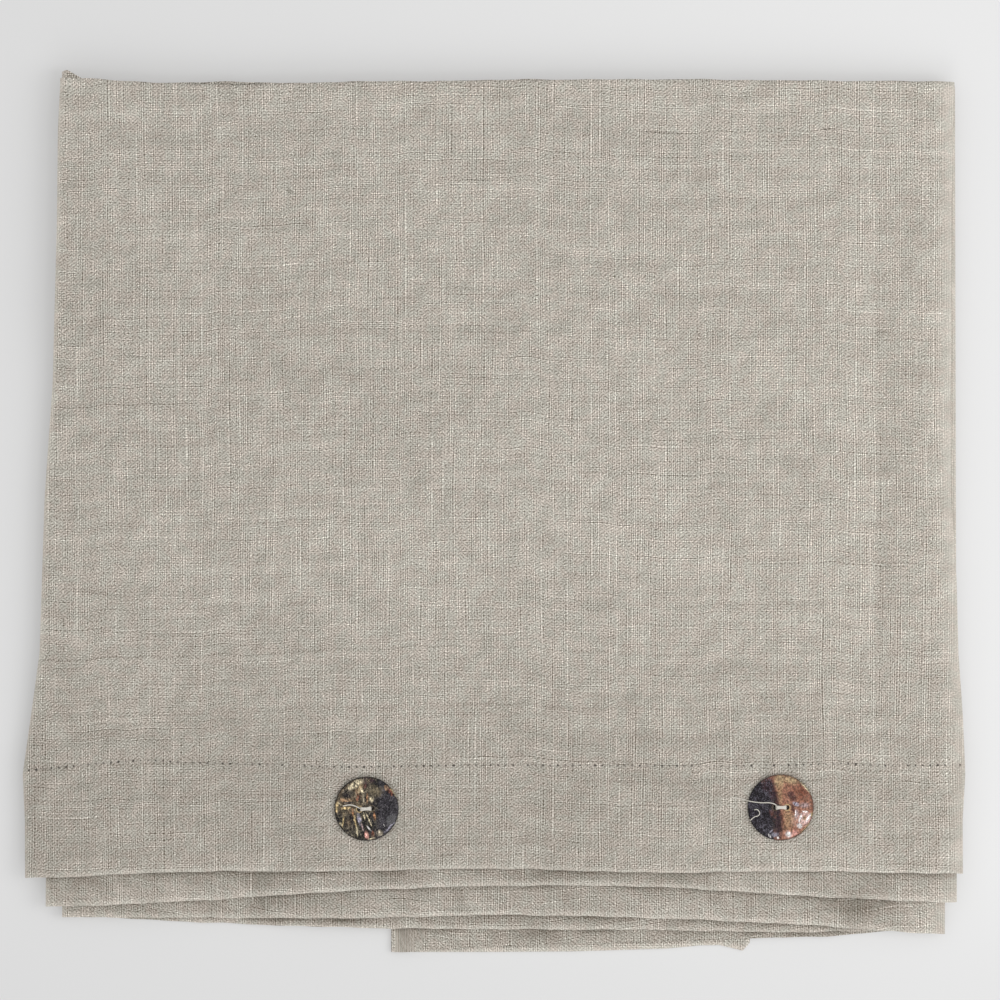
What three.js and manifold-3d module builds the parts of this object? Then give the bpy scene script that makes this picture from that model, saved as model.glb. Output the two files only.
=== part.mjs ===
// A linen table runner, folded back and forth into eight panels and lying on a table, with two
// shell buttons sewn to the wide hem of its top end. Millimetres, +Z up, +X to the right, +Y to
// the back folds. The origin is under the middle of the folded cloth, on the table.
import * as THREE from "three";
import { mergeVertices } from "three/addons/utils/BufferGeometryUtils.js";
import Module from "manifold-3d";

const wasm = await Module();
wasm.setup();

// Cloth
const thickness = 1.0; // one ply of washed linen with its soft waves
const plyGap = 0.3;
const pitch = thickness + plyGap;
const foldRadius = pitch / 2; // of the middle of the cloth round a fold
const foldReach = foldRadius + thickness / 2;

// The lines across the cloth, in order along it from the turned-in edge of the hem to the far end.
// left and right are where a line meets the long sides, y is its general place, and waves are how
// far its outermost edge wanders from y at seven even steps from left to right. A line called front
// or back is a fold there, and front 1 is the fold of the hem.
const lines = [
  { name: "hem edge", left: -178.6, right: 178.6, y: -95, waves: [-2.2, 1, -0.6, -0.1, -0.2, 0.1, 0] },
  { name: "front 1", left: -178.2, right: 178.2, y: -137, waves: [-2.8, -0.3, 0, 1, -0.5, 0, -1.1] },
  { name: "back 1", left: -164.7, right: 175.2, y: 163.5, waves: [1.3, -1.4, -0.3, 0.3, 0.7, 0.2, -0.1] },
  { name: "front 2", left: -170.4, right: 175.9, y: -145, waves: [-5.7, -3.2, 0.5, 2.4, 2, -1.4, -4] },
  { name: "back 2", left: -162.6, right: 173.3, y: 163, waves: [-1, 0.2, -0.4, 1.1, 0.4, -0.6, -1.2] },
  { name: "front 3", left: -164.2, right: 171.4, y: -155, waves: [0.4, 0.2, 0.1, 1.3, 0.1, -2.3, -6.1] },
  { name: "back 3", left: -164.2, right: 170.6, y: 162.5, waves: [1.5, -1.1, 0.9, -0.3, 0.3, 0.5, -1.1] },
  { name: "front 4", left: -161.1, right: 169.5, y: -159, waves: [4.7, 2.2, 0.4, -0.2, -0.4, -1.3, -0.4] },
  { name: "back 4", left: -159.2, right: 168.7, y: 161.5, waves: [0.9, 0.5, 0.1, -0.1, 0.3, 0.7, -0.5] },
  { name: "far end", left: -38, right: 167.6, y: -164, waves: [-3.7, -1.7, -0.5, 0.5, 1.5, 2.7, 5.9] },
];
const facings = { front: -1, back: 1 };
for (const line of lines) line.facing = facings[line.name.split(" ")[0]] ?? 0;
const hemPly = 0;
const topPly = 1;
const lastPly = lines.length - 2;
const flapPly = lines.length - 1;
const stack = [topPly, hemPly, 2, 3, 4, 5, 6, 7, lastPly, flapPly]; // from the top down

// The long sides of the top panel, from the back to the front.
const topSides = [
  { y: 165, left: -164.7, right: 175.2 },
  { y: 145, left: -165.7, right: 174.3 },
  { y: 109, left: -166.1, right: 174.0 },
  { y: 49, left: -167.7, right: 173.7 },
  { y: 5, left: -170.8, right: 173.8 },
  { y: -26, left: -171.8, right: 175.8 },
  { y: -54, left: -172.7, right: 176.5 },
  { y: -78, left: -176.0, right: 178.2 },
  { y: -100, left: -179.1, right: 179.1 },
  { y: -117, left: -178.3, right: 178.1 },
  { y: -140, left: -178.2, right: 178.2 },
];

// The small ear that the third back fold shows at the left corner.
const ear = { line: 6, x: -162.5, rise: 3.9, reach: 5.3 };

// Rows that every ply shares, as y, from back to front.
const sharedRows = [145, 109, 57, 5, -40, -81];

// The left third of the lowest panel is turned under it. Its crease is straight at the front and
// swings out to the cloth's left side near the back fold.
const turnedWidth = 136.4;
const turnedSide = { back: -159.2, front: -175.5 }; // where the left side would lie, laid flat
const creaseStraightFrom = sharedRows[5];
const creaseEndsAt = sharedRows[0];
const flapRows = sharedRows.slice(1);
const flapFrontRow = -159;
const flapFront = [
  { across: 0, y: -167.7 },
  { across: 0.25, y: -167.7 },
  { across: 0.5, y: -167.5 },
  { across: 0.77, y: -166.4 },
  { across: 0.86, y: -165.2 },
  { across: 0.915, y: -165.1 },
  { across: 0.98, y: -167.2 },
  { across: 1, y: -164.2 },
];

// How far the cloth above stays level past an edge below it, and the length of its fall after that.
const overSide = { level: 8, fall: 20 };
const overHem = { level: 2, fall: 12 };
const overCrease = { level: 27, fall: 30 };

// Steps across the cloth: shared places inside, and shares of the way from a side to the first one.
const firstInside = -150;
const insideStep = 15.6;
const insideCount = 21;
const sideShares = [0, 0.13, 0.42];
const fanCount = 11; // steps that the lowest panel gathers at its crease
const fanBlend = 30;
const arcSteps = 4;

// Buttons: round shell discs with two holes, low domes on top.
const buttons = [
  { name: "button_left", x: -48.4, y: -113.1, diameter: 24.4, holeGap: 4.8, turn: 3.6, colour: 0x2b2a2e },
  { name: "button_right", x: 108.9, y: -112.6, diameter: 25.1, holeGap: 4.6, turn: 0, colour: 0x6b3f26 },
];
const buttonRim = 1.1;
const buttonCrown = 2.2;
const buttonEdgeRadius = 0.45;
const holeDiameter = 1.5;
const seatGap = 0.3;

const linen = new THREE.MeshStandardMaterial({ color: 0xb3ada1, roughness: 0.95, metalness: 0 });

const lerp = THREE.MathUtils.lerp;
const smooth = (t) => THREE.MathUtils.smoothstep(t, 0, 1);

// A smooth curve through evenly spaced values, at a share of the way from the first to the last.
function through(values, share) {
  const place = THREE.MathUtils.clamp(share, 0, 1) * (values.length - 1);
  const k = Math.min(Math.floor(place), values.length - 2);
  const before = values[Math.max(k - 1, 0)];
  const after = values[Math.min(k + 2, values.length - 1)];
  const t = place - k;
  const slopeIn = (values[k + 1] - before) / 2;
  const slopeOut = (after - values[k]) / 2;
  const [t2, t3] = [t * t, t * t * t];
  return (
    (2 * t3 - 3 * t2 + 1) * values[k] +
    (t3 - 2 * t2 + t) * slopeIn +
    (3 * t2 - 2 * t3) * values[k + 1] +
    (t3 - t2) * slopeOut
  );
}

// A column of a table whose rows run in order of another column, read between its rows.
function between(rows, key, at, column) {
  const falling = rows[0][key] > rows[1][key];
  const next = rows.findIndex((row) => (falling ? row[key] <= at : row[key] >= at));
  if (next === 0) return rows[0][column];
  if (next < 0) return rows[rows.length - 1][column];
  const [a, b] = [rows[next - 1], rows[next]];
  return lerp(a[column], b[column], (at - a[key]) / (b[key] - a[key]));
}

// The outermost y of a line across the cloth.
function lineY(index, x) {
  const line = lines[index];
  const y = line.y + through(line.waves, (x - line.left) / (line.right - line.left));
  const inEar = index === ear.line ? Math.max(0, 1 - Math.abs(x - ear.x) / ear.reach) : 0;
  return y + ear.rise * inEar;
}

// Where the middle of the cloth stops being straight and turns round a line.
function turnY(index, x) {
  return lineY(index, x) - lines[index].facing * foldReach;
}

function flapWidth(y) {
  return turnedWidth * smooth((creaseEndsAt - y) / (creaseEndsAt - creaseStraightFrom));
}

function creaseX(y) {
  const share = THREE.MathUtils.clamp((creaseEndsAt - y) / (creaseEndsAt - creaseStraightFrom), 0, 1);
  return lerp(turnedSide.back, turnedSide.front, share) + flapWidth(y);
}

// The long sides of a ply at a given y.
function sides(ply, y) {
  if (ply === topPly || ply === hemPly) {
    return { left: between(topSides, "y", y, "left"), right: between(topSides, "y", y, "right") };
  }
  const [from, to] = [lines[ply], lines[ply + 1]];
  const share = THREE.MathUtils.clamp((y - from.y) / (to.y - from.y), 0, 1);
  const left = ply === lastPly ? creaseX(y) + foldReach : lerp(from.left, to.left, share);
  return { left, right: lerp(from.right, to.right, share) };
}

// How far a ply holds up what lies on it at a place: 1 over it, and falling to 0 past its edges.
function support(ply, x, y) {
  if (ply === flapPly) {
    const widest = turnedSide.front + 2 * turnedWidth;
    const past = Math.max(creaseX(y) - x, x - widest, 0);
    return 1 - smooth((past - overCrease.level) / overCrease.fall);
  }
  const { left, right } = sides(ply, y);
  const ends = [lineY(ply, x), lineY(ply + 1, x)];
  const pastBack = ply === hemPly ? 0 : y - Math.max(...ends);
  const pastSide = Math.max(x - right, Math.min(...ends) - y, pastBack, 0);
  const pastLeft = Math.max(left - x, 0);
  const overLeft = ply === lastPly ? overCrease : overSide;
  const held = 1 - smooth((pastSide - overSide.level) / overSide.fall);
  const heldLeft = 1 - smooth((pastLeft - overLeft.level) / overLeft.fall);
  const pastHem = ply === hemPly ? Math.max(y - lineY(hemPly, x), 0) : 0;
  return held * heldLeft * (1 - smooth((pastHem - overHem.level) / overHem.fall));
}

// The height of the middle of a ply at a place, from the plies that lie under it.
function height(ply, x, y) {
  const under = stack.slice(stack.indexOf(ply) + 1);
  return thickness / 2 + pitch * under.reduce((sum, lower) => sum + support(lower, x, y), 0);
}

const columnCount = insideCount + 2 * sideShares.length;

// Where a step across the cloth lies on a ply.
function columnX(column, ply, y) {
  const { left, right } = sides(ply, y);
  const inside = column - sideShares.length;
  const lastInside = firstInside + insideStep * (insideCount - 1);
  let x = firstInside + insideStep * inside;
  if (inside < 0) x = lerp(left, firstInside, sideShares[column]);
  if (inside >= insideCount) x = lerp(right, lastInside, sideShares[columnCount - 1 - column]);
  if (ply === lastPly && column < fanCount) {
    const fanEnd = firstInside + insideStep * (fanCount - sideShares.length);
    const fan = lerp(left, fanEnd, column / fanCount);
    x = lerp(x, fan, smooth((creaseEndsAt - y) / fanBlend));
  }
  return x;
}

// The rows between the two ends of a ply, in order along the cloth, each as y at a given x.
function rowsOf(ply) {
  const level = (y) => () => y;
  const nearHem = (offset) => (x) => lineY(hemPly, x) + offset;
  if (ply === hemPly) return [nearHem(-5), level(-117)];
  const forward = sharedRows.map(level);
  if (lines[ply].facing === 1) return forward;
  if (ply !== topPly) return forward.reverse();
  const atHem = [nearHem(-5), nearHem(overHem.level), nearHem(overHem.level + overHem.fall)];
  return [level(-117), ...atHem, ...forward.slice(0, -1).reverse()];
}

// The middle of the cloth along one step across it, from the hem's edge to the far end.
function middleLine(column) {
  const points = [];
  const lay = (ply, y, x) => points.push(new THREE.Vector3(x, y, height(ply, x, y)));
  for (let ply = 0; ply <= lastPly; ply++) {
    const facing = lines[ply + 1].facing;
    const guess = (index) => columnX(column, ply, lineY(index, columnX(column, ply, lines[index].y)));
    const startX = guess(ply);
    const endX = guess(ply + 1);
    if (ply === 0) lay(ply, turnY(0, startX), startX);
    for (const row of rowsOf(ply)) {
      const roughX = columnX(column, ply, row(startX));
      const y = row(roughX);
      lay(ply, y, columnX(column, ply, y));
    }
    const y = turnY(ply + 1, endX);
    lay(ply, y, endX);
    if (facing === 0) continue;
    const top = height(ply, endX, y);
    const bottom = height(ply + 1, endX, y);
    for (let k = 1; k <= arcSteps; k++) {
      const angle = (Math.PI * k) / arcSteps;
      const z = (top + bottom) / 2 + ((top - bottom) / 2) * Math.cos(angle);
      points.push(new THREE.Vector3(endX, y + facing * foldRadius * Math.sin(angle), z));
    }
  }
  return points;
}

// A closed sheet round a grid of points, with its two faces apart along each point's normal.
// leans says, for a row of cells, which way the diagonal of their triangles runs.
function sheetGeometry(grid, normals, halfThickness, leans) {
  const columns = grid.length;
  const rows = grid[0].length;
  const vertices = [];
  for (const side of [1, -1]) {
    for (let i = 0; i < columns; i++) {
      for (let j = 0; j < rows; j++) {
        const p = grid[i][j].clone().addScaledVector(normals[i][j], side * halfThickness(i, j));
        vertices.push(p.x, p.y, p.z);
      }
    }
  }
  const at = (i, j, side) => (side === 1 ? 0 : columns * rows) + i * rows + j;
  const faces = [];
  const quad = (a, b, c, d) => faces.push(a, b, c, a, c, d);
  for (let i = 0; i + 1 < columns; i++) {
    for (let j = 0; j + 1 < rows; j++) {
      const [a, b, c, d] = [at(i, j, 1), at(i + 1, j, 1), at(i + 1, j + 1, 1), at(i, j + 1, 1)];
      const [e, f, g, h] = [at(i, j, -1), at(i, j + 1, -1), at(i + 1, j + 1, -1), at(i + 1, j, -1)];
      if (leans(j)) {
        quad(b, c, d, a);
        quad(f, g, h, e);
      } else {
        quad(a, b, c, d);
        quad(e, f, g, h);
      }
    }
    quad(at(i, 0, -1), at(i + 1, 0, -1), at(i + 1, 0, 1), at(i, 0, 1));
    quad(at(i, rows - 1, 1), at(i + 1, rows - 1, 1), at(i + 1, rows - 1, -1), at(i, rows - 1, -1));
  }
  for (let j = 0; j + 1 < rows; j++) {
    quad(at(0, j, 1), at(0, j + 1, 1), at(0, j + 1, -1), at(0, j, -1));
    const last = columns - 1;
    quad(at(last, j, -1), at(last, j + 1, -1), at(last, j + 1, 1), at(last, j, 1));
  }
  const geometry = new THREE.BufferGeometry();
  geometry.setAttribute("position", new THREE.Float32BufferAttribute(vertices, 3));
  geometry.setIndex(faces);
  return geometry;
}

// The unit normal of a grid at each point, pointing up on the top panel.
function gridNormals(grid) {
  const step = (a, b) => new THREE.Vector3().subVectors(b, a);
  return grid.map((points, i) =>
    points.map((_, j) => {
      const across = step(grid[Math.max(i - 1, 0)][j], grid[Math.min(i + 1, grid.length - 1)][j]);
      const along = step(points[Math.max(j - 1, 0)], points[Math.min(j + 1, points.length - 1)]);
      return across.cross(along).normalize();
    }),
  );
}

function foldedCloth() {
  const grid = Array.from({ length: columnCount }, (_, column) => middleLine(column));
  const middle = grid[Math.floor(columnCount / 2)];
  const toBack = (j) => middle[j + 1].y > middle[j].y;
  return sheetGeometry(grid, gridNormals(grid), () => thickness / 2, toBack);
}

// The turned-under third: it starts inside the lowest panel, rounds the crease and lies flat.
function turnedFlap() {
  const section = [
    { inset: 1.0, rise: foldRadius, normal: 0, half: 0.42 },
    { inset: 0.25, rise: foldRadius, normal: 0, half: 0.47 },
  ];
  for (const angle of [36, 72, 108, 144, 180]) {
    const turned = THREE.MathUtils.degToRad(angle);
    const inset = -foldRadius * Math.sin(turned);
    section.push({ inset, rise: foldRadius * Math.cos(turned), normal: turned, half: thickness / 2 });
  }
  const onFlat = { rise: -foldRadius, normal: Math.PI };
  const flatColumns = flapFront.slice(1).map(({ across }) => ({ across, ...onFlat }));
  const columns = [...section, ...flatColumns];
  const rows = [0, flapFrontRow, ...flapRows.toReversed()];
  const grid = columns.map((column) =>
    rows.map((row, index) => {
      const y = index === 0 ? between(flapFront, "across", column.across ?? 0, "y") : row;
      const bend = creaseX(y) + foldReach;
      const x = bend + (column.inset ?? (flapWidth(y) - foldReach) * column.across);
      return new THREE.Vector3(x, y, thickness / 2 + foldRadius + column.rise);
    }),
  );
  const normals = columns.map(({ normal }) =>
    rows.map(() => new THREE.Vector3(-Math.sin(normal), 0, Math.cos(normal))),
  );
  return sheetGeometry(grid, normals, (i) => columns[i].half ?? thickness / 2, () => false);
}

function toSolid(geometry) {
  const plain = geometry.index ? geometry.toNonIndexed() : geometry.clone();
  plain.deleteAttribute("normal");
  plain.deleteAttribute("uv");
  const merged = mergeVertices(plain, 1e-4);
  const triVerts = new Uint32Array(merged.index.array);
  const vertProperties = merged.attributes.position.array;
  const solid = new wasm.Manifold(new wasm.Mesh({ numProp: 3, vertProperties, triVerts }));
  if (solid.volume() > 0) return solid;
  for (let k = 0; k < triVerts.length; k += 3) {
    [triVerts[k + 1], triVerts[k + 2]] = [triVerts[k + 2], triVerts[k + 1]];
  }
  return new wasm.Manifold(new wasm.Mesh({ numProp: 3, vertProperties, triVerts }));
}

function toGeometry(solid) {
  const { vertProperties, triVerts } = solid.getMesh();
  const geometry = new THREE.BufferGeometry();
  geometry.setAttribute("position", new THREE.Float32BufferAttribute(vertProperties, 3));
  geometry.setIndex(Array.from(triVerts));
  geometry.computeVertexNormals();
  return geometry;
}

function runner() {
  const solid = toSolid(foldedCloth()).add(toSolid(turnedFlap()));
  const mesh = new THREE.Mesh(toGeometry(solid), linen);
  mesh.name = "runner";
  return mesh;
}

// A shell disc: flat underneath, a rounded rim and a low dome, with two thread holes.
function button({ name, x, y, diameter, holeGap, turn, colour }) {
  const radius = diameter / 2;
  const profile = [new THREE.Vector2(0, 0), new THREE.Vector2(radius - buttonEdgeRadius, 0)];
  for (const angle of [-45, 0, 45]) {
    const turned = THREE.MathUtils.degToRad(angle);
    const centre = buttonRim / 2 + Math.sign(angle) * (buttonRim / 2 - buttonEdgeRadius);
    const out = radius - buttonEdgeRadius + buttonEdgeRadius * Math.cos(turned);
    profile.push(new THREE.Vector2(out, centre + buttonEdgeRadius * Math.sin(turned)));
  }
  for (const share of [0.88, 0.66, 0.44, 0.22, 0]) {
    const crown = buttonRim + (buttonCrown - buttonRim) * (1 - share * share);
    profile.push(new THREE.Vector2(share * radius, crown));
  }
  const disc = new THREE.LatheGeometry(profile, 36).rotateX(Math.PI / 2);
  let solid = toSolid(disc);
  const direction = THREE.MathUtils.degToRad(turn);
  for (const side of [-0.5, 0.5]) {
    const hole = new THREE.CylinderGeometry(holeDiameter / 2, holeDiameter / 2, 4 * buttonCrown, 14);
    hole.rotateX(Math.PI / 2);
    hole.translate(side * holeGap * Math.cos(direction), side * holeGap * Math.sin(direction), 0);
    solid = solid.subtract(toSolid(hole));
  }
  const shell = new THREE.MeshStandardMaterial({ color: colour, roughness: 0.2, metalness: 0 });
  const mesh = new THREE.Mesh(toGeometry(solid), shell);
  mesh.name = name;
  mesh.position.set(x, y, height(topPly, x, y) + thickness / 2 + seatGap);
  return mesh;
}

const foldedRunner = new THREE.Group();
foldedRunner.add(runner(), ...buttons.map(button));

export default foldedRunner;
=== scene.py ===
"""The looks of a linen table runner, folded back and forth into eight panels, with two shell
buttons on its wide hem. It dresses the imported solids. Tables are in millimetres, in the frame of
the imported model: +X to the right, +Y to the back folds, +Z up from the table."""

import math
from types import SimpleNamespace

import bmesh
import bpy
import numpy as np
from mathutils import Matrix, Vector


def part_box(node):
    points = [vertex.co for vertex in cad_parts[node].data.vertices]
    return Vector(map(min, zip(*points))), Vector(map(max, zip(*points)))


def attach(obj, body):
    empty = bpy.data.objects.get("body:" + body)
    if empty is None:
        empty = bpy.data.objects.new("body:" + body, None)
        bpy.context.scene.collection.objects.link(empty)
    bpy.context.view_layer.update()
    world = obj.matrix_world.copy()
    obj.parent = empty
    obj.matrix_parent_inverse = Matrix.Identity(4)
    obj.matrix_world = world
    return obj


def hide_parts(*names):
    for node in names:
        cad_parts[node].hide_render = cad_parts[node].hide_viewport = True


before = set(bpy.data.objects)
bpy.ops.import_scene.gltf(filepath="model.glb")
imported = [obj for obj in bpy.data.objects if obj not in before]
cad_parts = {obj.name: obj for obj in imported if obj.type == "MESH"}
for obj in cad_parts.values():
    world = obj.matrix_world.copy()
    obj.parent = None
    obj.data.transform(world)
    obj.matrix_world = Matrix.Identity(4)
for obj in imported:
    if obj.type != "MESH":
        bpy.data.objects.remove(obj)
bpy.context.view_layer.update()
MM = 0.001


def table(columns, *rows, **usual):
    """Rows of a table, each with its columns by name. A short row takes the usual values."""
    return [SimpleNamespace(**usual | dict(zip(columns.split(), row))) for row in rows]


# Cloth
THICKNESS = 0.6
PITCH = 1.3  # from one ply of the stack to the next
FOLD_RADIUS = 0.65
FOLD_REACH = 2.4  # how far the nose of a fold stands out past its turn
CREASE_REACH = 1.15
FOLD_DROOP = SimpleNamespace(depth=0.32, length=6)

# The lines across the cloth, in order along it. Waves are how far a line's outermost edge wanders
# from y at seven even steps from left to right. A line that faces the front or the back is a fold.
LINES = table(
    "name facing left right y waves",
    ("hem edge", 0, -178.6, 178.6, -95, (-2.2, 1, -0.6, -0.1, -0.2, 0.1, 0)),
    ("front 1", -1, -178.2, 178.2, -137, (-2.8, -0.3, 0, 1, -0.5, 0, -1.1)),
    ("back 1", 1, -164.7, 175.2, 163.5, (1.3, -1.4, -0.3, 0.3, 0.7, 0.2, -0.1)),
    ("front 2", -1, -170.4, 175.9, -145, (-5.7, -3.2, 0.5, 2.4, 2, -1.4, -4)),
    ("back 2", 1, -162.6, 173.3, 163, (-1, 0.2, -0.4, 1.1, 0.4, -0.6, -1.2)),
    ("front 3", -1, -164.2, 171.4, -155, (0.4, 0.2, 0.1, 1.3, 0.1, -2.3, -6.1)),
    ("back 3", 1, -164.2, 170.6, 162.5, (1.5, -1.1, 0.9, -0.3, 0.3, 0.5, -1.1)),
    ("front 4", -1, -161.1, 169.5, -159, (4.7, 2.2, 0.4, -0.2, -0.4, -1.3, -0.4)),
    ("back 4", 1, -159.2, 168.7, 161.5, (0.9, 0.5, 0.1, -0.1, 0.3, 0.7, -0.5)),
    ("far end", 0, -38, 167.6, -164, (-3.7, -1.7, -0.5, 0.5, 1.5, 2.7, 5.9)),
)
HEM_PLY, TOP_PLY = 0, 1
LAST_PLY = len(LINES) - 2
FLAP_PLY = len(LINES) - 1
STACK = [TOP_PLY, HEM_PLY, *range(2, LAST_PLY + 1), FLAP_PLY]  # from the top down

# The long sides of the top panel.
TOP_SIDES = table(
    "y left right",
    (-140, -178.2, 178.2),
    (-117, -178.3, 178.1),
    (-100, -179.1, 179.1),
    (-78, -176.0, 178.2),
    (-54, -172.7, 176.5),
    (-26, -171.8, 175.8),
    (5, -170.8, 173.8),
    (49, -167.7, 173.7),
    (109, -166.1, 174.0),
    (145, -165.7, 174.3),
    (165, -164.7, 175.2),
)

# The small ear that the third back fold shows at the left corner.
EAR = SimpleNamespace(line=6, x=-162.5, rise=3.9, reach=7.2)

# The left third of the lowest panel is turned under it.
TURNED_WIDTH = 136.4
TURNED_SIDE = SimpleNamespace(back=-159.2, front=-175.5)
CREASE_STRAIGHT_FROM, CREASE_ENDS_AT = -81, 145
FLAP_FRONT = table(
    "across y",
    (0, -167.7),
    (0.25, -167.7),
    (0.5, -167.5),
    (0.77, -166.4),
    (0.86, -165.2),
    (0.915, -165.1),
    (0.98, -167.2),
    (1, -164.2),
)

# How far the cloth above stays level past an edge below it, and the length of its fall after that.
OVER_SIDE = SimpleNamespace(level=8, fall=20)
OVER_HEM = SimpleNamespace(level=2, fall=12)
OVER_CREASE = SimpleNamespace(level=27, fall=30)

# The line of stitches that holds the hem.
SEAM = table(
    "x y",
    (-176.7, -98.6),
    (-161, -97.1),
    (-149, -95.8),
    (-132, -94.6),
    (-118, -95.6),
    (-85, -96.4),
    (-56, -97.3),
    (-6, -96.5),
    (90, -96.9),
    (115, -96.5),
    (133, -95.9),
    (147, -96.8),
    (176, -96.5),
)
STITCH_PITCH = 2.83
STITCH_COUNT = 125
STITCH_RADIUS, STITCH_SUNK, STITCH_DIP = 0.15, 0.07, 0.3

# Low swells and hollows of the whole folded cloth, by their rise at the top panel.
SWELLS = table(
    "x y across along rise",
    (112, 8, 34, 26, 0.9),
    (10, 12, 40, 22, 0.7),
    (-92, 48, 52, 15, -0.9),
    (45, 44, 30, 12, -0.8),
    (-70, -24, 60, 16, -0.8),
    (-155, 8, 12, 30, 0.6),
    (-38, -70, 30, 14, 0.8),
    (-120, 112, 45, 20, 0.5),
    (60, 120, 60, 22, 0.6),
    (-40, 100, 35, 18, -0.5),
    (-130, -80, 40, 14, -0.8),
    (70, -62, 45, 14, -0.5),
    (20, -115, 60, 12, -0.5),
    (-140, -60, 30, 12, 0.6),
    (140, -40, 20, 26, 0.5),
    (-20, -130, 40, 8, 0.4),
)

# Small troughs (depth above 0) and ridges (below 0) of the top panel.
CREASES = table(
    "x y length width depth turn",
    (65, 143, 24, 2.2, 0.35, -6),
    (126, 145, 9, 1.8, 0.3, 0),
    (-153, -31, 22, 2.4, 0.45, -8),
    (-151, -86, 26, 2.6, 0.5, 4),
    (-136, 59, 13, 2, 0.35, -5),
    (-124, -47, 25, 2.2, 0.4, 0),
    (148, 68, 10, 2, 0.3, 0),
    (147, 10, 230, 3, 0.4, 90),
    (-60, 38, 60, 3, 0.3, 3),
    (-72, -30, 70, 3.5, 0.35, 10),
    (98, -33, 40, 3, 0.3, -12),
    (-150, 62, 20, 3, -0.3, 12),
    (30, 40, 40, 3, 0.3, -4),
    (-100, -64, 30, 3, 0.35, 25),
    (120, -60, 36, 3, 0.3, 8),
    (60, -128, 60, 3, 0.3, 2),
)
CREASE_CARRY = {TOP_PLY: 1.0, HEM_PLY: 0.8, 2: 0.6, 3: 0.35, 4: 0.15}  # their depth in each ply

# How much the stack is pressed down at its two long sides.
SIDE_FALL = table("start end share", (-150, -179, 0.24), (146, 179, 0.3))

# Broad patches of lighter (tone above 0) or darker tone on the top panel and the folds, with painted
# shade of the soft folds on the plies below the hem and painted light on the ear.
TONE_AND_SHADE_PATCHES = table(
    "x y across along tone",
    # darker towards the front
    (-20, -125, 300, 70, -0.162),
    (-110, 110, 90, 80, 0.015),
    (-190, 20, 90, 220, -0.03),
    (-50, 60, 90, 40, -0.03),
    (150, 100, 90, 120, 0.02),
    (40, -125, 60, 16, 0.02),
    (160, -110, 25, 35, -0.03),
    # from here to the ear's row: painted shade and light of the soft folds on the plies below the hem
    (-159, -142, 6, 4, -0.08),
    (-130, -139.5, 5, 3, -0.08),
    (-109, -151, 6, 4, -0.1),
    (-91.6, -140.6, 9, 3.5, -0.16),
    (-89, -150, 3.5, 5, -0.14),
    (-72, -139.5, 2.5, 2, -0.12),
    (-65.5, -149, 8, 4, -0.07),
    (-83, -156, 5, 1.5, -0.2),
    (-60, -156, 11, 1.5, -0.26),
    (-37.6, -139, 11, 2.5, -0.15),
    (-34, -148, 4, 3, -0.07),
    (-34, -163.4, 6, 3, -0.08),
    (-13.7, -148.6, 2, 5, -0.16),
    (-8, -156, 9, 1.5, -0.12),
    (17.5, -138, 22, 2.5, -0.16),
    (28.3, -148.6, 3, 5, -0.12),
    (14, -161, 13, 2.5, -0.16),
    (42, -156, 9, 1.5, -0.1),
    (70, -140, 10, 2.5, -0.18),
    (66, -158, 5, 1.5, -0.14),
    (86, -158, 5, 1.5, -0.14),
    (85, -146, 3.5, 2, -0.16),
    (96.5, -151.6, 2, 4.5, -0.14),
    (92, -151, 2.5, 5, 0.08),
    (121.6, -143.6, 4, 3, -0.08),
    (138, -151, 10, 7, -0.34),
    (144, -141, 7, 3.5, -0.1),
    # painted light on the ear at the left corner
    (-161.5, 165.5, 8, 7, 0.2),
)

# The cloth is painted a little darker to the right of this line, as shade where the plies under it end.
STEP = SimpleNamespace(x=144.4, front=-92, back=138, reach=14, tone=-0.1)

# Single slubs and flecks of the top panel, lighter (above 0) or darker, and painted shade along its fine
# creases.
MARKS = table(
    "x y length width tone turn",
    (-37.4, 150.5, 24, 0.8, 0.22),
    (-6.7, 125.8, 17, 0.9, -0.3),
    (-77.5, 121.4, 3.6, 1.5, -0.34, -35),
    (-75.0, 35.7, 1.7, 1.1, 0.5, 20),
    # the next seven darker marks follow creases: painted shade
    (64.6, 143.8, 21, 1.1, -0.26, -4),
    (126.5, 145.2, 7, 1.0, -0.3),
    (-153, -30.8, 22, 2.4, -0.16, -6),
    (-151, -84.4, 24, 4.0, -0.13, 5),
    (-136, 58.7, 12, 1.1, -0.24, -6),
    (-124, -46.8, 25, 1.1, -0.2),
    (148, 68, 8, 1.0, -0.28),
    (-67, 114.8, 22, 0.8, 0.16),
    (-30, 88.2, 16, 0.9, 0.16),
    (1, 79.8, 17, 0.8, 0.18),
    (-37, 80.9, 21, 0.9, -0.2, 1),
    (-65.9, 110, 13, 0.7, 0.2, 90),
    (-54.6, 101.5, 21, 0.7, 0.2, 90),
    (-33.8, 112, 34, 0.7, 0.16, 90),
    (-82.8, 104.6, 22, 0.7, 0.16, 90),
    (1.3, 93.4, 22, 0.7, 0.18, 90),
    (27.4, 12, 60, 0.8, 0.12, 90),
    (97.5, -40, 48, 0.8, 0.12, 90),
    turn=0,
)

BUTTONS = table(
    "name x y diameter hole_gap turn holes_off",
    ("button_left", -48.4, -113.1, 24.4, 4.8, 3.6, -0.35),
    ("button_right", 108.9, -112.6, 25.1, 4.6, 0, 0.15),
)
BUTTON_RIM = 1.1
BUTTON_CROWN = 2.2
HOLE_DIAMETER = 1.7


# The shape of the folded cloth.


def smooth(t):
    t = np.clip(t, 0, 1)
    return t * t * (3 - 2 * t)


def lerp(a, b, t):
    return a + (b - a) * t


def read(rows, key, at, column):
    """A column of a table, read between its rows, which run upwards in their key."""
    keys = [getattr(row, key) for row in rows]
    return np.interp(at, keys, [getattr(row, column) for row in rows])


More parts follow.
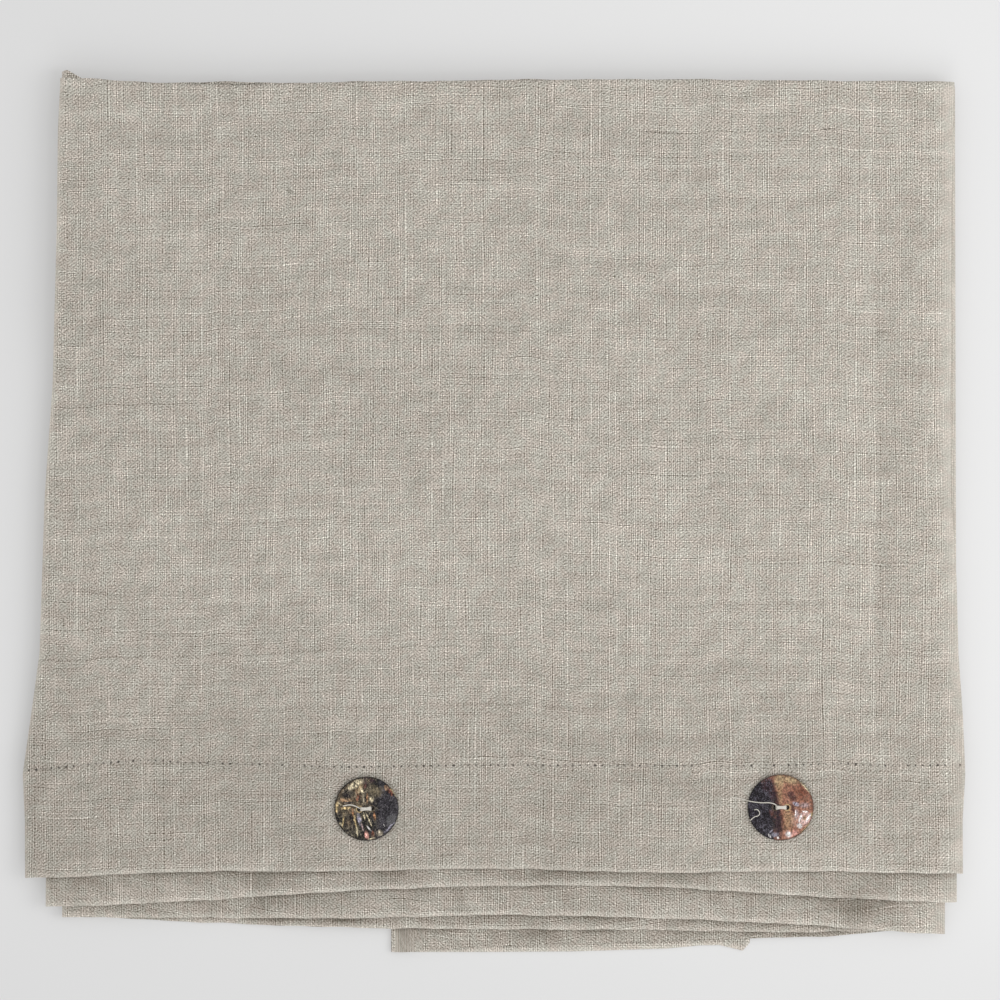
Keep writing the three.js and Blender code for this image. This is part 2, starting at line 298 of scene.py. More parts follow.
def through(values, share):
    """A smooth curve through evenly spaced values."""
    values = np.asarray(values, float)
    place = np.clip(share, 0, 1) * (len(values) - 1)
    k = np.minimum(place.astype(int), len(values) - 2)
    t = place - k
    before = values[np.maximum(k - 1, 0)]
    after = values[np.minimum(k + 2, len(values) - 1)]
    slope_in, slope_out = (values[k + 1] - before) / 2, (after - values[k]) / 2
    t2, t3 = t * t, t * t * t
    start = (2 * t3 - 3 * t2 + 1) * values[k] + (t3 - 2 * t2 + t) * slope_in
    return start + (3 * t2 - 2 * t3) * values[k + 1] + (t3 - t2) * slope_out


def line_y(index, x):
    """The outermost y of a line across the cloth, with its small wobble."""
    line = LINES[index]
    y = line.y + through(line.waves, (x - line.left) / (line.right - line.left))
    if index == EAR.line:
        y = y + EAR.rise * np.clip(1 - np.abs(x - EAR.x) / EAR.reach, 0, None)
    wobble = sum(
        np.sin(x / length + index * 2.1 + k * 1.7) for k, length in enumerate((2.3, 3.7, 6.1))
    )
    return y + 0.09 * wobble


def turn_y(index, x):
    return line_y(index, x) - LINES[index].facing * FOLD_REACH


def seam_y(x):
    return read(SEAM, "x", x, "y")


def crease_share(y):
    return np.clip((CREASE_ENDS_AT - y) / (CREASE_ENDS_AT - CREASE_STRAIGHT_FROM), 0, 1)


def flap_width(y):
    return TURNED_WIDTH * smooth(crease_share(y))


def crease_x(y):
    return lerp(TURNED_SIDE.back, TURNED_SIDE.front, crease_share(y)) + flap_width(y)


def sides(ply, y):
    """The long sides of a ply at a given y."""
    if ply in (TOP_PLY, HEM_PLY):
        return read(TOP_SIDES, "y", y, "left"), read(TOP_SIDES, "y", y, "right")
    start, end = LINES[ply], LINES[ply + 1]
    share = np.clip((y - start.y) / (end.y - start.y), 0, 1)
    left = lerp(start.left, end.left, share)
    if ply == LAST_PLY:
        left = crease_x(y) + CREASE_REACH
    return left, lerp(start.right, end.right, share)


def held(past, over):
    return 1 - smooth((past - over.level) / over.fall)


def support(ply, x, y):
    """How far a ply holds up what lies on it: 1 over it, and falling to 0 past its edges."""
    if ply == FLAP_PLY:
        widest = TURNED_SIDE.front + 2 * TURNED_WIDTH
        return held(np.maximum(np.maximum(crease_x(y) - x, x - widest), 0), OVER_CREASE)
    left, right = sides(ply, y)
    ends = line_y(ply, x), line_y(ply + 1, x)
    past = np.maximum(x - right, np.minimum(*ends) - y)
    if ply != HEM_PLY:
        past = np.maximum(past, y - np.maximum(*ends))
    past_left = np.maximum(left - x, 0)
    over_left = OVER_CREASE if ply == LAST_PLY else OVER_SIDE
    share = held(np.maximum(past, 0), OVER_SIDE) * held(past_left, over_left)
    if ply == HEM_PLY:
        share = share * held(np.maximum(y - line_y(HEM_PLY, x), 0), OVER_HEM)
    return share


def ripples(x, y):
    """Fine unevenness of washed cloth, about one unit high."""
    waves = table(
        "across along phase",
        (0.21, 0.05, 0.3),
        (-0.13, 0.19, 1.9),
        (0.07, -0.27, 4.1),
        (0.31, 0.17, 2.2),
        (-0.24, 0.11, 5.3),
        (0.05, 0.38, 0.9),
    )
    return sum(np.sin(w.across * x + w.along * y + w.phase) for w in waves) / 3


def swell(x, y):
    rise = 0.12 * ripples(x, y)
    for s in SWELLS:
        rise = rise + s.rise * np.exp(-(((x - s.x) / s.across) ** 2) - ((y - s.y) / s.along) ** 2)
    return rise


def creases(x, y):
    depth = 0
    for c in CREASES:
        turn = math.radians(c.turn)
        along = (x - c.x) * math.cos(turn) + (y - c.y) * math.sin(turn)
        across = (y - c.y) * math.cos(turn) - (x - c.x) * math.sin(turn)
        bend = 0.6 * c.width * np.sin(along / c.length * 7 + c.x)
        fade = np.clip(1 - (2 * along / c.length) ** 2, 0, None)
        depth = depth + c.depth * fade * np.exp(-(((across - bend) / c.width) ** 2))
    return depth


def pressed(x):
    share = 1.0
    for f in SIDE_FALL:
        share = share - f.share * np.clip((x - f.start) / (f.end - f.start), 0, 1.1) ** 2
    return share


def droop(ply, x, y):
    """How far the upper ply of a front fold curves down to its nose."""
    index = ply if LINES[ply].facing == -1 else ply + 1
    if LINES[index].facing != -1 or ply == HEM_PLY or (ply != TOP_PLY and index != ply + 1):
        return 0
    if ply == TOP_PLY:
        index = 1
    behind = np.clip(1 - (y - turn_y(index, x)) / FOLD_DROOP.length, 0, 1)
    return FOLD_DROOP.depth * behind**2


def height(ply, x, y):
    """The height of the middle of a ply at a place."""
    under = STACK[STACK.index(ply) + 1 :]
    flat = PITCH * (0.5 + sum(support(lower, x, y) for lower in under))
    whole = PITCH * len(STACK)
    loose = flat * pressed(x) * (1 + swell(x, y) / whole)
    return loose - CREASE_CARRY.get(ply, 0) * creases(x, y) - droop(ply, x, y)


# The cloth as one fine sheet.

# Its columns, from side to side, and its rows. Both lie closer together at the edges and folds.
INSIDE = np.arange(-150, 162.1, 2.8)
SIDE_SHARES = np.array([0, 0.03, 0.07, 0.13, 0.21, 0.31, 0.43, 0.57, 0.78])
FAN_END = -25.2
ARC_STEPS = 7
NEAR_FOLD_SHARES = (0.005, 0.011, 0.02, 0.03, 0.041, 0.054, 0.07, 0.09, 0.12, 0.17)
PANEL_SHARES = (*NEAR_FOLD_SHARES, 0.26, 0.39, 0.54, 0.69, 0.82, 0.92, 0.965, 0.985, 0.995)
COLUMN_COUNT = len(INSIDE) + 2 * len(SIDE_SHARES)
HEM_ROWS, ROWS_TO_SEAM, ROWS_TO_BACK = 9, 15, 113
FRONT_SHARES = (0.003, 0.007, 0.014)
BACK_SHARES = (0.996, 0.999)
SEAM_ROWS = (-1.8, -1.1, -0.5, 0, 0.5, 1.1, 1.8)  # before and past the line of stitches
FLAP_ROWS = (-163, -159, -150, -130, -105, -81, -60, -40, -18, 5, 30, 57, 83, 109)
FLAP_ARC_STEPS = 8
FAN_LENGTH = 30
EDGE_THINNING = (0.55, 0.85)  # of the two outermost columns at each long side
RIGHT_EDGE_SHARE = 0.28  # distances from the right side count for less, so its pale band of wear and painted highlight is wider
FLAP_WEAVE_START = 2600  # along the cloth, past all of its other weave
FAR, FAR_FROM_HEM = 50, 1000  # for a point that has no such edge, or no hem, near it


def column_x(ply, y):
    """Where each column of the sheet lies on a ply, for a y per column."""
    left, right = (np.broadcast_to(side, COLUMN_COUNT) for side in sides(ply, y))
    n = len(SIDE_SHARES)
    x = np.empty(COLUMN_COUNT)
    x[:n] = lerp(left[:n], INSIDE[0], SIDE_SHARES)
    x[n:-n] = INSIDE
    x[-n:] = lerp(right[-n:], INSIDE[-1], SIDE_SHARES[::-1])
    if ply == LAST_PLY:
        fan_count = n + int(np.sum(INSIDE <= FAN_END))
        share = np.arange(fan_count) / (fan_count - 1)
        fan = lerp(left[:fan_count], INSIDE[fan_count - n - 1], share)
        yy = np.broadcast_to(y, COLUMN_COUNT)[:fan_count]
        x[:fan_count] = lerp(x[:fan_count], fan, smooth((CREASE_ENDS_AT - yy) / FAN_LENGTH))
    return x


def settled(ply, y_at):
    """A row of the sheet on a ply, as x and y, where its y depends on its x."""
    x = column_x(ply, np.full(COLUMN_COUNT, float(np.mean(y_at(np.zeros(1))))))
    for _ in range(3):
        x = column_x(ply, y_at(x))
    return x, y_at(x)


def between(start, end, shares):
    """Rows of the sheet between two of its rows. Each row is a function from x to y."""
    return [lambda x, t=t: lerp(start(x), end(x), t) for t in shares]


def inner_shares(parts):
    return np.linspace(0, 1, parts + 1)[1:-1]


def seam_row(offset):
    return lambda x: seam_y(x) + offset


def ply_rows(ply):
    """The rows of one ply between its two turns, closer together at its folds and at the seam."""

    def start(x):
        return turn_y(ply, x)

    def end(x):
        return turn_y(ply + 1, x)

    if ply == HEM_PLY:
        return [start, *between(start, end, inner_shares(HEM_ROWS)), end]
    if ply == TOP_PLY:
        front = [start, *between(start, end, FRONT_SHARES)]
        at_seam = [seam_row(offset) for offset in SEAM_ROWS]
        to_seam = between(front[-1], at_seam[0], inner_shares(ROWS_TO_SEAM))
        to_back = between(at_seam[-1], end, (*inner_shares(ROWS_TO_BACK), *BACK_SHARES))
        return [*front, *to_seam, *at_seam, *to_back, end]
    shares = PANEL_SHARES if LINES[ply].facing == -1 else [1 - t for t in reversed(PANEL_SHARES)]
    return [start, *between(start, end, shares), end]


def folded_grid():
    """The middle of the cloth as a grid of points, columns by rows, and the ply of each row."""
    rows, plies = [], []
    reach = FOLD_REACH - THICKNESS / 2
    for ply in range(LAST_PLY + 1):
        for y_at in ply_rows(ply):
            x, y = settled(ply, y_at)
            rows.append(np.stack([x, y, height(ply, x, y)], axis=1))
            plies.append(ply)
        facing = LINES[ply + 1].facing
        if facing == 0:
            continue
        top, x, y = rows[-1][:, 2], rows[-1][:, 0], rows[-1][:, 1]
        bottom = height(ply + 1, x, y)
        for angle in np.linspace(0, math.pi, ARC_STEPS + 1)[1:-1]:
            z = (top + bottom) / 2 + (top - bottom) / 2 * math.cos(angle)
            rows.append(np.stack([x, y + facing * reach * math.sin(angle), z], axis=1))
            plies.append(ply if angle < math.pi / 2 else ply + 1)
    return np.stack(rows, axis=1), np.array(plies)


def grid_normals(grid):
    across, along = np.empty_like(grid), np.empty_like(grid)
    across[1:-1], across[0], across[-1] = grid[2:] - grid[:-2], grid[1] - grid[0], grid[-1] - grid[-2]
    along[:, 1:-1] = grid[:, 2:] - grid[:, :-2]
    along[:, 0], along[:, -1] = grid[:, 1] - grid[:, 0], grid[:, -1] - grid[:, -2]
    normals = np.cross(across, along)
    return normals / np.linalg.norm(normals, axis=2, keepdims=True)


def sheet_faces(columns, rows, first):
    """Four-sided faces of a closed sheet whose upper points come before its lower ones."""
    index = first + np.arange(columns * rows).reshape(columns, rows)
    up, low = index, index + columns * rows

    def quads(a, b, c, d):
        return np.stack([a.ravel(), b.ravel(), c.ravel(), d.ravel()], axis=1)

    def cells(g):
        return g[:-1, :-1], g[1:, :-1], g[1:, 1:], g[:-1, 1:]

    return np.concatenate(
        [
            quads(*cells(up)),
            quads(*cells(low)[::-1]),
            quads(low[:-1, 0], low[1:, 0], up[1:, 0], up[:-1, 0]),
            quads(up[:-1, -1], up[1:, -1], low[1:, -1], low[:-1, -1]),
            quads(up[0, :-1], up[0, 1:], low[0, 1:], low[0, :-1]),
            quads(low[-1, :-1], low[-1, 1:], up[-1, 1:], up[-1, :-1]),
        ]
    )


def flap_grid():
    """The turned-under third: it starts inside the lowest panel, rounds the crease and lies flat."""
    radius = FOLD_RADIUS
    # its rows: how far in from the crease, how high, which way they face and half the thickness
    section = [(1.0, radius, 0, 0.25), (0.25, radius, 0, 0.28)]
    for angle in np.radians(np.linspace(0, 180, FLAP_ARC_STEPS + 1)[1:]):
        reach = CREASE_REACH - THICKNESS / 2
        section.append((-reach * math.sin(angle), radius * math.cos(angle), angle, THICKNESS / 2))
    flat = [(None, -radius, math.pi, THICKNESS / 2, f.across) for f in FLAP_FRONT[1:]]
    columns = [(*s, 0) for s in section] + flat
    points, normals, halves = [], [], []
    for inset, rise, angle, half, across in columns:
        front = float(read(FLAP_FRONT, "across", across, "y"))
        y = np.array([front, *FLAP_ROWS])
        bend = crease_x(y) + CREASE_REACH
        x = bend + (inset if inset is not None else (flap_width(y) - CREASE_REACH) * across)
        z = PITCH / 2 + radius + rise + np.zeros(len(y))
        z = z * pressed(x) * (1 + swell(x, y) / (PITCH * len(STACK)))
        points.append(np.stack([x, y, z], axis=1))
        normals.append(np.tile([-math.sin(angle), 0, math.cos(angle)], (len(y), 1)))
        halves.append(np.full(len(y), half))
    return np.stack(points), np.stack(normals), np.stack(halves)


def sheet_points(grid, normals, halves):
    """The upper and then the lower points of a sheet, with none of them under the table."""
    offset = normals * halves[..., None]
    points = np.concatenate([(grid + offset).reshape(-1, 3), (grid - offset).reshape(-1, 3)])
    points[:, 2] = np.maximum(points[:, 2], 0)
    return points * MM


def edge_distances(grid, plies):
    """For each point, how far it lies out past the fold above it, behind its own front fold and
    inside its nearest long side."""
    x, y = grid[..., 0], grid[..., 1]
    past, behind, inside = np.full_like(x, FAR), np.full_like(x, FAR), np.empty_like(x)
    for j, ply in enumerate(plies):
        if ply > TOP_PLY and ply % 2 == 0:
            past[:, j] = line_y(ply - 1, x[:, j]) - y[:, j]
        own = ply if LINES[ply].facing == -1 else ply + 1
        if LINES[own].facing == -1:
            behind[:, j] = y[:, j] - line_y(own, x[:, j])
        left, right = sides(ply, y[:, j])
        inside[:, j] = np.minimum(x[:, j] - left, (right - x[:, j]) * RIGHT_EDGE_SHARE)
    return np.stack([past, behind, inside], axis=2)


def wash(x, y):
    """The tone that the patches, with their painted light and shade, and the painted shade past the step
    at the right add at a place.
    """
    tone = np.zeros_like(x)
    for w in TONE_AND_SHADE_PATCHES:
        tone = tone + w.tone * np.exp(-(((x - w.x) / w.across) ** 2) - ((y - w.y) / w.along) ** 2)
    # painted shade past the step at the right
    beyond = np.clip(x - STEP.x, 0, None)
    band = smooth(beyond / 2) * np.exp(-beyond / STEP.reach)
    ends = smooth((y - STEP.front) / 20) * smooth((STEP.back - y) / 20)
    return tone + STEP.tone * band * ends


def runner_cloth():
    """The folded cloth and its turned-under third in one mesh, with its maps and values by point."""
    grid, plies = folded_grid()
    columns, rows = grid.shape[:2]
    halves = np.full((columns, rows), THICKNESS / 2)
    for column, share in enumerate(EDGE_THINNING):
        halves[[column, -1 - column]] *= share
    run = np.linalg.norm(np.diff(grid, axis=1), axis=2).cumsum(axis=1)
    along = np.concatenate([np.zeros((columns, 1)), run], axis=1)
    weave = np.stack([grid[..., 0], along], axis=2) * MM
    from_seam = grid[..., 1] - seam_y(grid[..., 0])
    from_seam = np.where(plies > TOP_PLY, FAR_FROM_HEM, from_seam)
    from_seam = np.where(plies < TOP_PLY, -FAR_FROM_HEM, from_seam)
    hem = np.stack([grid[..., 0], from_seam], axis=2) * MM

    flap, flap_normals, flap_halves = flap_grid()
    flap_weave = np.stack([-flap[..., 0], flap[..., 1] + FLAP_WEAVE_START], axis=2) * MM
    flap_hem = np.ones_like(flap_weave)

    main = sheet_points(grid, grid_normals(grid), halves)
    under = sheet_points(flap, flap_normals, flap_halves)
    points = np.concatenate([main, under])
    faces = np.concatenate(
        [sheet_faces(columns, rows, 0), sheet_faces(*flap.shape[:2], len(main))]
    )
    maps = {}
    for name, sheet_map, flap_map in (("weave", weave, flap_weave), ("hem", hem, flap_hem)):
        both = [sheet_map.reshape(-1, 2)] * 2 + [flap_map.reshape(-1, 2)] * 2
        maps[name] = np.concatenate(both)
    cloth = mesh_object("runner_cloth", points, faces, maps)
    flap_edges = np.full_like(flap, FAR)
    flap_edges[..., 1] = flap[..., 1] - flap[:, :1, 1]
    add_attribute(cloth, "edges", [edge_distances(grid, plies), flap_edges])
    tones = [wash(grid[..., 0], grid[..., 1])[..., None], np.zeros((*flap.shape[:2], 1))]
    add_attribute(cloth, "wash", tones)
    return cloth


def add_attribute(obj, name, parts):
    """Numbers by point for a mesh of sheets, each given once for its two faces."""
    values = np.concatenate([part.reshape(-1, part.shape[-1]) for part in parts for _ in (0, 1)])
    kind, key = ("FLOAT", "value") if values.shape[1] == 1 else ("FLOAT_VECTOR", "vector")
    layer = obj.data.attributes.new(name, kind, "POINT")
    layer.data.foreach_set(key, values.astype(np.float32).ravel())


def link(name, data):
    """A new object in the scene, at the origin."""
    obj = bpy.data.objects.new(name, data)
    bpy.context.scene.collection.objects.link(obj)
    return obj


def mesh_object(name, points, faces, maps=None):
    """A smooth mesh from points in metres and faces, with UV maps given by point."""
    mesh = bpy.data.meshes.new(name)
    mesh.from_pydata(points.tolist(), [], [[int(corner) for corner in face] for face in faces])
    corners = np.empty(len(mesh.loops), np.int32)
    mesh.loops.foreach_get("vertex_index", corners)
    for map_name, places in (maps or {}).items():
        layer = mesh.uv_layers.new(name=map_name)
        layer.data.foreach_set("uv", places[corners].astype(np.float32).ravel())
    obj = link(name, mesh)
    choose(obj)
    bpy.ops.object.shade_smooth_by_angle(angle=math.radians(60))
    return obj


def choose(obj):
    """Makes obj the one selected object, in object mode."""
    bpy.ops.object.select_all(action="DESELECT")
    obj.select_set(True)
    bpy.context.view_layer.objects.active = obj


def cloth_top(x, y):
    """The height of the top panel's upper face."""
    place = np.array([float(x)]), np.array([float(y)])
    return float(height(TOP_PLY, *place)[0]) + THICKNESS / 2


# Sewing.


def tube_rings(line, radii, sides_count):
    """Points of rings round a line of points, by ring."""
    line = np.asarray(line, float)
    along = np.gradient(line, axis=0)
    along /= np.linalg.norm(along, axis=1, keepdims=True)
    side = np.cross(along, [0, 0, 1.0])
    side /= np.maximum(np.linalg.norm(side, axis=1, keepdims=True), 1e-9)
    up = np.cross(side, along)
    angles = np.linspace(0, 2 * math.pi, sides_count, endpoint=False)
    wide, tall = np.cos(angles)[None, :, None], np.sin(angles)[None, :, None]
    radii = np.broadcast_to(np.asarray(radii, float), len(line))[:, None, None]
    return line[:, None] + radii * (side[:, None] * wide + up[:, None] * tall)


def tubes(name, strands, sides_count=7):
    """One mesh of several closed tubes. A strand is a line of points and its radii, in mm."""
    points, faces = [], []
    for line, radii in strands:
        rings = tube_rings(line, radii, sides_count)
        index = len(points) + np.arange(len(rings) * sides_count).reshape(-1, sides_count)
        beside = np.roll(index, -1, axis=1)
        points.extend(rings.reshape(-1, 3))
        faces.extend(zip(index[:-1].flat, index[1:].flat, beside[1:].flat, beside[:-1].flat))
        faces.extend([index[0], index[-1, ::-1]])
    return mesh_object(name, np.array(points) * MM, faces)


def hem_stitches():
    """A short thread from needle hole to needle hole, all along the hem, sunk into the cloth."""
    strands = []
    for i in range(STITCH_COUNT):
        line = []
        for t in np.linspace(0, 1, 7):
            x = SEAM[0].x + (i + 0.1 + 0.8 * t) * STITCH_PITCH
            y = float(seam_y(x)) + 0.05 * math.sin(i * 2.7)
            dip = STITCH_DIP * (2 * t - 1) ** 4
            line.append((x, y, cloth_top(x, y) - STITCH_SUNK - dip))
        strands.append((line, STITCH_RADIUS))
    return tubes("hem_stitches", strands, 6)


def button_top(button, x, y):
    """The height of a button's domed face at a place given from its centre."""
    share = min(1.0, math.hypot(x, y) / (button.diameter / 2))
    return BUTTON_RIM + (BUTTON_CROWN - BUTTON_RIM) * (1 - share**2)


def button_seat(button):
    """The height of a button's flat underside, from the frame."""
    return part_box(button.name)[0].z / MM


def on_turned(button, along, across=0.0):
    """A place from a button's centre, given along and across its line of holes."""
    turn = math.radians(button.turn)
    x = along * math.cos(turn) - across * math.sin(turn)
    return x, along * math.sin(turn) + across * math.cos(turn)


# The bar of thread between two holes: how far each strand lies from its middle, and its course.
BAR_STRANDS = (-0.62, -0.22, 0.2, 0.6)
BAR = SimpleNamespace(radius=0.29, inset=0.35, lift=0.2, arch=0.15, dip=1.3, dips_from=0.84)

# The loose threads over each button, as points from its centre with their lift over what is below.
SHORT_END = ((-2.2, 0.1, -1.2), (-3.0, 0.4, 0.25), (-4.5, 1.1, 0.5), (-6.4, 1.5, 0.35), (-8.9, 1.1, 0.2))
LONG_END = (
    (-1.8, 0.3, -1.2),
    (-2.0, 1.1, 0.25),
    (-4.3, 1.8, 0.5),
    (-7.6, 1.8, 0.45),
    (-11.4, 2.3, 0.3),
    (-13.3, 2.8, 0.25),
    (-16.1, 3.5, 0.15),
    (-18.6, 3.8, 0.12),
)
CURLED_END = (
    (-10.0, -0.9, 0.15),
    (-8.9, -0.8, 0.3),
    (-8.0, -2.0, 0.3),
    (-8.5, -3.1, 0.3),
    (-10.0, -3.6, 0.3),
    (-11.5, -4.9, 0.2),
)
THREADS = table(
    "button radius points",
    ("button_left", 0.22, SHORT_END),
    ("button_right", 0.2, LONG_END),
    ("button_right", 0.17, CURLED_END),
)


def curve_through(points, steps=8):
    """A finer line of points through a few."""
    points = np.asarray(points, float)
    share = np.linspace(0, 1, steps * (len(points) - 1) + 1)
    return np.stack([through(points[:, k], share) for k in range(3)], axis=1)


def button_threads(button):
    """The thread bar between the two holes, waisted in its middle, and the loose ends."""
    seat = button_seat(button)
    strands = []
    for offset in BAR_STRANDS:
        line = []
        for t in np.linspace(-1, 1, 15):
            along = t * (button.hole_gap / 2 - BAR.inset) + button.holes_off
            x, y = on_turned(button, along, offset * (0.5 + 0.5 * t * t))
            dip = BAR.dip * max(0.0, abs(t) - BAR.dips_from) / (1 - BAR.dips_from)
            z = seat + button_top(button, x, y) + BAR.lift + BAR.arch * (1 - t * t) - dip
            line.append((button.x + x, button.y + y, z))
        strands.append((line, BAR.radius))
    for thread in THREADS:
        if thread.button != button.name:
            continue
        line = []
        for x, y, lift in curve_through(thread.points):
            place = button.x + x, button.y + y
            on_button = math.hypot(x, y) < button.diameter / 2 + 0.3
            below = seat + button_top(button, x, y) if on_button else cloth_top(*place)
            line.append([*place, below + lift])
        line = np.array(line)
        line[2:-2, 2] = np.convolve(line[:, 2], np.ones(5) / 5, "valid")
        strands.append((line, thread.radius))
    return tubes(button.name.replace("button", "thread"), strands, 8)


# Buttons.


def select(obj, kind, wanted):
    """In edit mode, selects just the faces or edges that wanted says."""
    bpy.ops.mesh.select_mode(type=kind)
    bpy.ops.mesh.select_all(action="DESELECT")
    mesh = bmesh.from_edit_mesh(obj.data)
    for part in mesh.faces if kind == "FACE" else mesh.edges:
        part.select_set(wanted(part))
    bmesh.update_edit_mesh(obj.data)


# The rings of a button's dome, as shares of its radius, and its rounded rim.
DOME_RINGS = (1, 0.965, 0.9, 0.8, 0.68, 0.55, 0.42, 0.29, 0.15)
RIM_ROUND = 0.36


def shell_button(button):
    """A thin shell disc with a rounded rim and a low dome, drilled with two holes."""
    radius = button.diameter / 2 * MM
    rim = BUTTON_RIM * MM
    bpy.ops.object.select_all(action="DESELECT")
    place = (button.x * MM, button.y * MM, button_seat(button) * MM + rim / 2)
    bpy.ops.mesh.primitive_cylinder_add(vertices=80, radius=radius, depth=rim, location=place)
    disc = bpy.context.object
    disc.name = disc.data.name = button.name.replace("button", "shell")
    bpy.ops.object.transform_apply(location=True, rotation=True, scale=True)
    bpy.ops.object.mode_set(mode="EDIT")
    select(disc, "FACE", lambda face: face.normal.z > 0.9)
    for outer, inner in zip(DOME_RINGS, DOME_RINGS[1:]):
        bpy.ops.mesh.inset(thickness=(outer - inner) * radius)
        rise = (BUTTON_CROWN - BUTTON_RIM) * MM * (outer**2 - inner**2)
        bpy.ops.transform.translate(value=(0, 0, rise))
    centre = Vector((button.x * MM, button.y * MM, 0))

    def on_rim(edge):
        flat = [(v.co - centre).xy.length for v in edge.verts]
        level = abs(edge.verts[0].co.z - edge.verts[1].co.z) < 1e-6
        return level and min(flat) > radius * 0.995

    select(disc, "EDGE", on_rim)
    bpy.ops.mesh.bevel(offset=RIM_ROUND * MM, segments=3, affect="EDGES")
    bpy.ops.object.mode_set(mode="OBJECT")
    for hole in hole_places(button):
        drill(disc, button, hole)
    choose(disc)
    bpy.ops.object.shade_smooth_by_angle(angle=math.radians(40))
    return disc


def hole_places(button):
    """The two thread holes of a button, from its centre."""
    return [on_turned(button, side * button.hole_gap + button.holes_off) for side in (-0.5, 0.5)]


def drill(disc, button, hole):
    """Takes one thread hole out of a disc."""
    x, y = hole
    bpy.ops.object.select_all(action="DESELECT")
    place = ((button.x + x) * MM, (button.y + y) * MM, button_seat(button) * MM)
    bpy.ops.mesh.primitive_cylinder_add(
        vertices=24, radius=HOLE_DIAMETER / 2 * MM, depth=8 * MM, location=place
    )
    cutter = bpy.context.object
    choose(disc)
    cut = disc.modifiers.new("hole", "BOOLEAN")
    cut.operation, cut.solver, cut.object = "DIFFERENCE", "EXACT", cutter
    bpy.ops.object.modifier_apply(modifier=cut.name)
    bpy.data.objects.remove(cutter)


# Materials. Places in them are in metres, or in millimetres inside a shell.


class Graph:
    """Adds nodes to the node tree of a material or a group, joined up as they are made."""

    def __init__(self, tree):
        self.tree = tree

    def put(self, socket, value):
        if isinstance(value, bpy.types.NodeSocket):
            self.tree.links.new(value, socket)
        else:
            socket.default_value = value

    def add(self, kind, inputs=None, **settings):
        node = self.tree.nodes.new(kind)
        for name, value in settings.items():
            setattr(node, name, value)
        for name, value in (inputs or {}).items():
            self.put(node.inputs[name], value)
        return node

    def worked_out(self, kind, operation, values):
        node = self.add(kind, operation=operation)
        for socket, value in zip(node.inputs, values):
            self.put(socket, value)
        return node

    def math(self, operation, *values):
        return self.worked_out("ShaderNodeMath", operation, values).outputs[0]

    def vector(self, operation, *values):
        outputs = self.worked_out("ShaderNodeVectorMath", operation, values).outputs
        return outputs["Value" if operation in ("LENGTH", "DISTANCE") else "Vector"]

    def plus(self, a, b):
        return self.math("ADD", a, b)

    def minus(self, a, b):
        return self.math("SUBTRACT", a, b)

    def times(self, a, b):
        return self.math("MULTIPLY", a, b)

    def raised(self, base, share, amount):
        """A base with a share of an amount added to it."""
        return self.math("MULTIPLY_ADD", share, amount, base)

    def span(self, value, low, high, to_low=0.0, to_high=1.0, kind="SMOOTHSTEP"):
        """A value carried from one range to another with soft ends, and held past them."""
        node = self.add("ShaderNodeMapRange", interpolation_type=kind)
        for socket, number in zip(node.inputs, (value, low, high, to_low, to_high)):
            self.put(socket, number)
        return node.outputs[0]

    def ramp(self, value, low, high, to_low, to_high):
        """A value carried from one range to another in a straight line, and held past its ends."""
        return self.span(value, low, high, to_low, to_high, "LINEAR")

    def mix(self, share, a, b, blend="MIX"):
        node = self.add("ShaderNodeMix", data_type="RGBA", blend_type=blend)
        for index, value in ((0, share), (6, a), (7, b)):
            self.put(node.inputs[index], value)
        return node.outputs[2]

    def shaded(self, colour, red, green, blue):
        """A colour with each of its channels multiplied by a tone."""
        shade = self.add("ShaderNodeCombineColor", {"Red": red, "Green": green, "Blue": blue})
        return self.mix(1.0, colour, shade.outputs[0], "MULTIPLY")

    def noise(self, place, scale, detail=2.0, roughness=0.5, dimensions="3D", output="Fac"):
        inputs = {"Vector": place, "Scale": scale, "Detail": detail, "Roughness": roughness}
        return self.add("ShaderNodeTexNoise", inputs, noise_dimensions=dimensions).outputs[output]

    def unevenness(self, x, y, detail=1.0):
        """Soft noise over two values, about one unit wide."""
        return self.noise(self.combine(x, y), 1.0, detail, 0.5, "2D")

    def random(self, number, seed):
        """A fixed random value for each whole number."""
        shifted = self.plus(number, seed)
        return self.add("ShaderNodeTexWhiteNoise", {"W": shifted}, noise_dimensions="1D").outputs[0]

    def combine(self, x, y, z=0.0):
        return self.add("ShaderNodeCombineXYZ", {"X": x, "Y": y, "Z": z}).outputs[0]

    def split(self, vector):
        return self.add("ShaderNodeSeparateXYZ", {"Vector": vector}).outputs

    def object_place(self):
        return self.add("ShaderNodeTexCoord").outputs["Object"]

    def drifted(self, place, wander, reach):
        """A place moved aside by a noise given as a colour."""
        aside = self.vector("SUBTRACT", wander, (0.5, 0.5, 0.5))
        return self.vector("MULTIPLY_ADD", aside, (reach, reach, reach), place)

    def laid(self, place, size, turn=0.0, centre=(0.0, 0.0)):
        """A place as seen from a centre, along turned axes and in units of a size."""
        turned = (0, 0, math.radians(turn))
        inputs = {"Vector": place, "Location": (*centre, 0), "Rotation": turned, "Scale": size}
        return self.add("ShaderNodeMapping", inputs, vector_type="TEXTURE").outputs[0]

    def oval(self, place, size, turn=0.0, centre=(0.0, 0.0)):
        """How far a place is from the middle of a turned oval, 1 at its outline."""
        return self.vector("LENGTH", self.laid(place, size, turn, centre))

    def bump(self, height, distance, strength):
        inputs = {"Height": height, "Strength": strength, "Distance": distance}
        return self.add("ShaderNodeBump", inputs).outputs["Normal"]


def new_material(name, finish):
    """A material with its graph and its shader, whose plain values are given by their labels."""
    material = bpy.data.materials.new(name)
    material.use_nodes = True
    material.node_tree.nodes.clear()
    graph = Graph(material.node_tree)
    shader = graph.add("ShaderNodeBsdfPrincipled", finish)
    graph.add("ShaderNodeOutputMaterial", {"Surface": shader.outputs["BSDF"]})
    return material, graph, shader


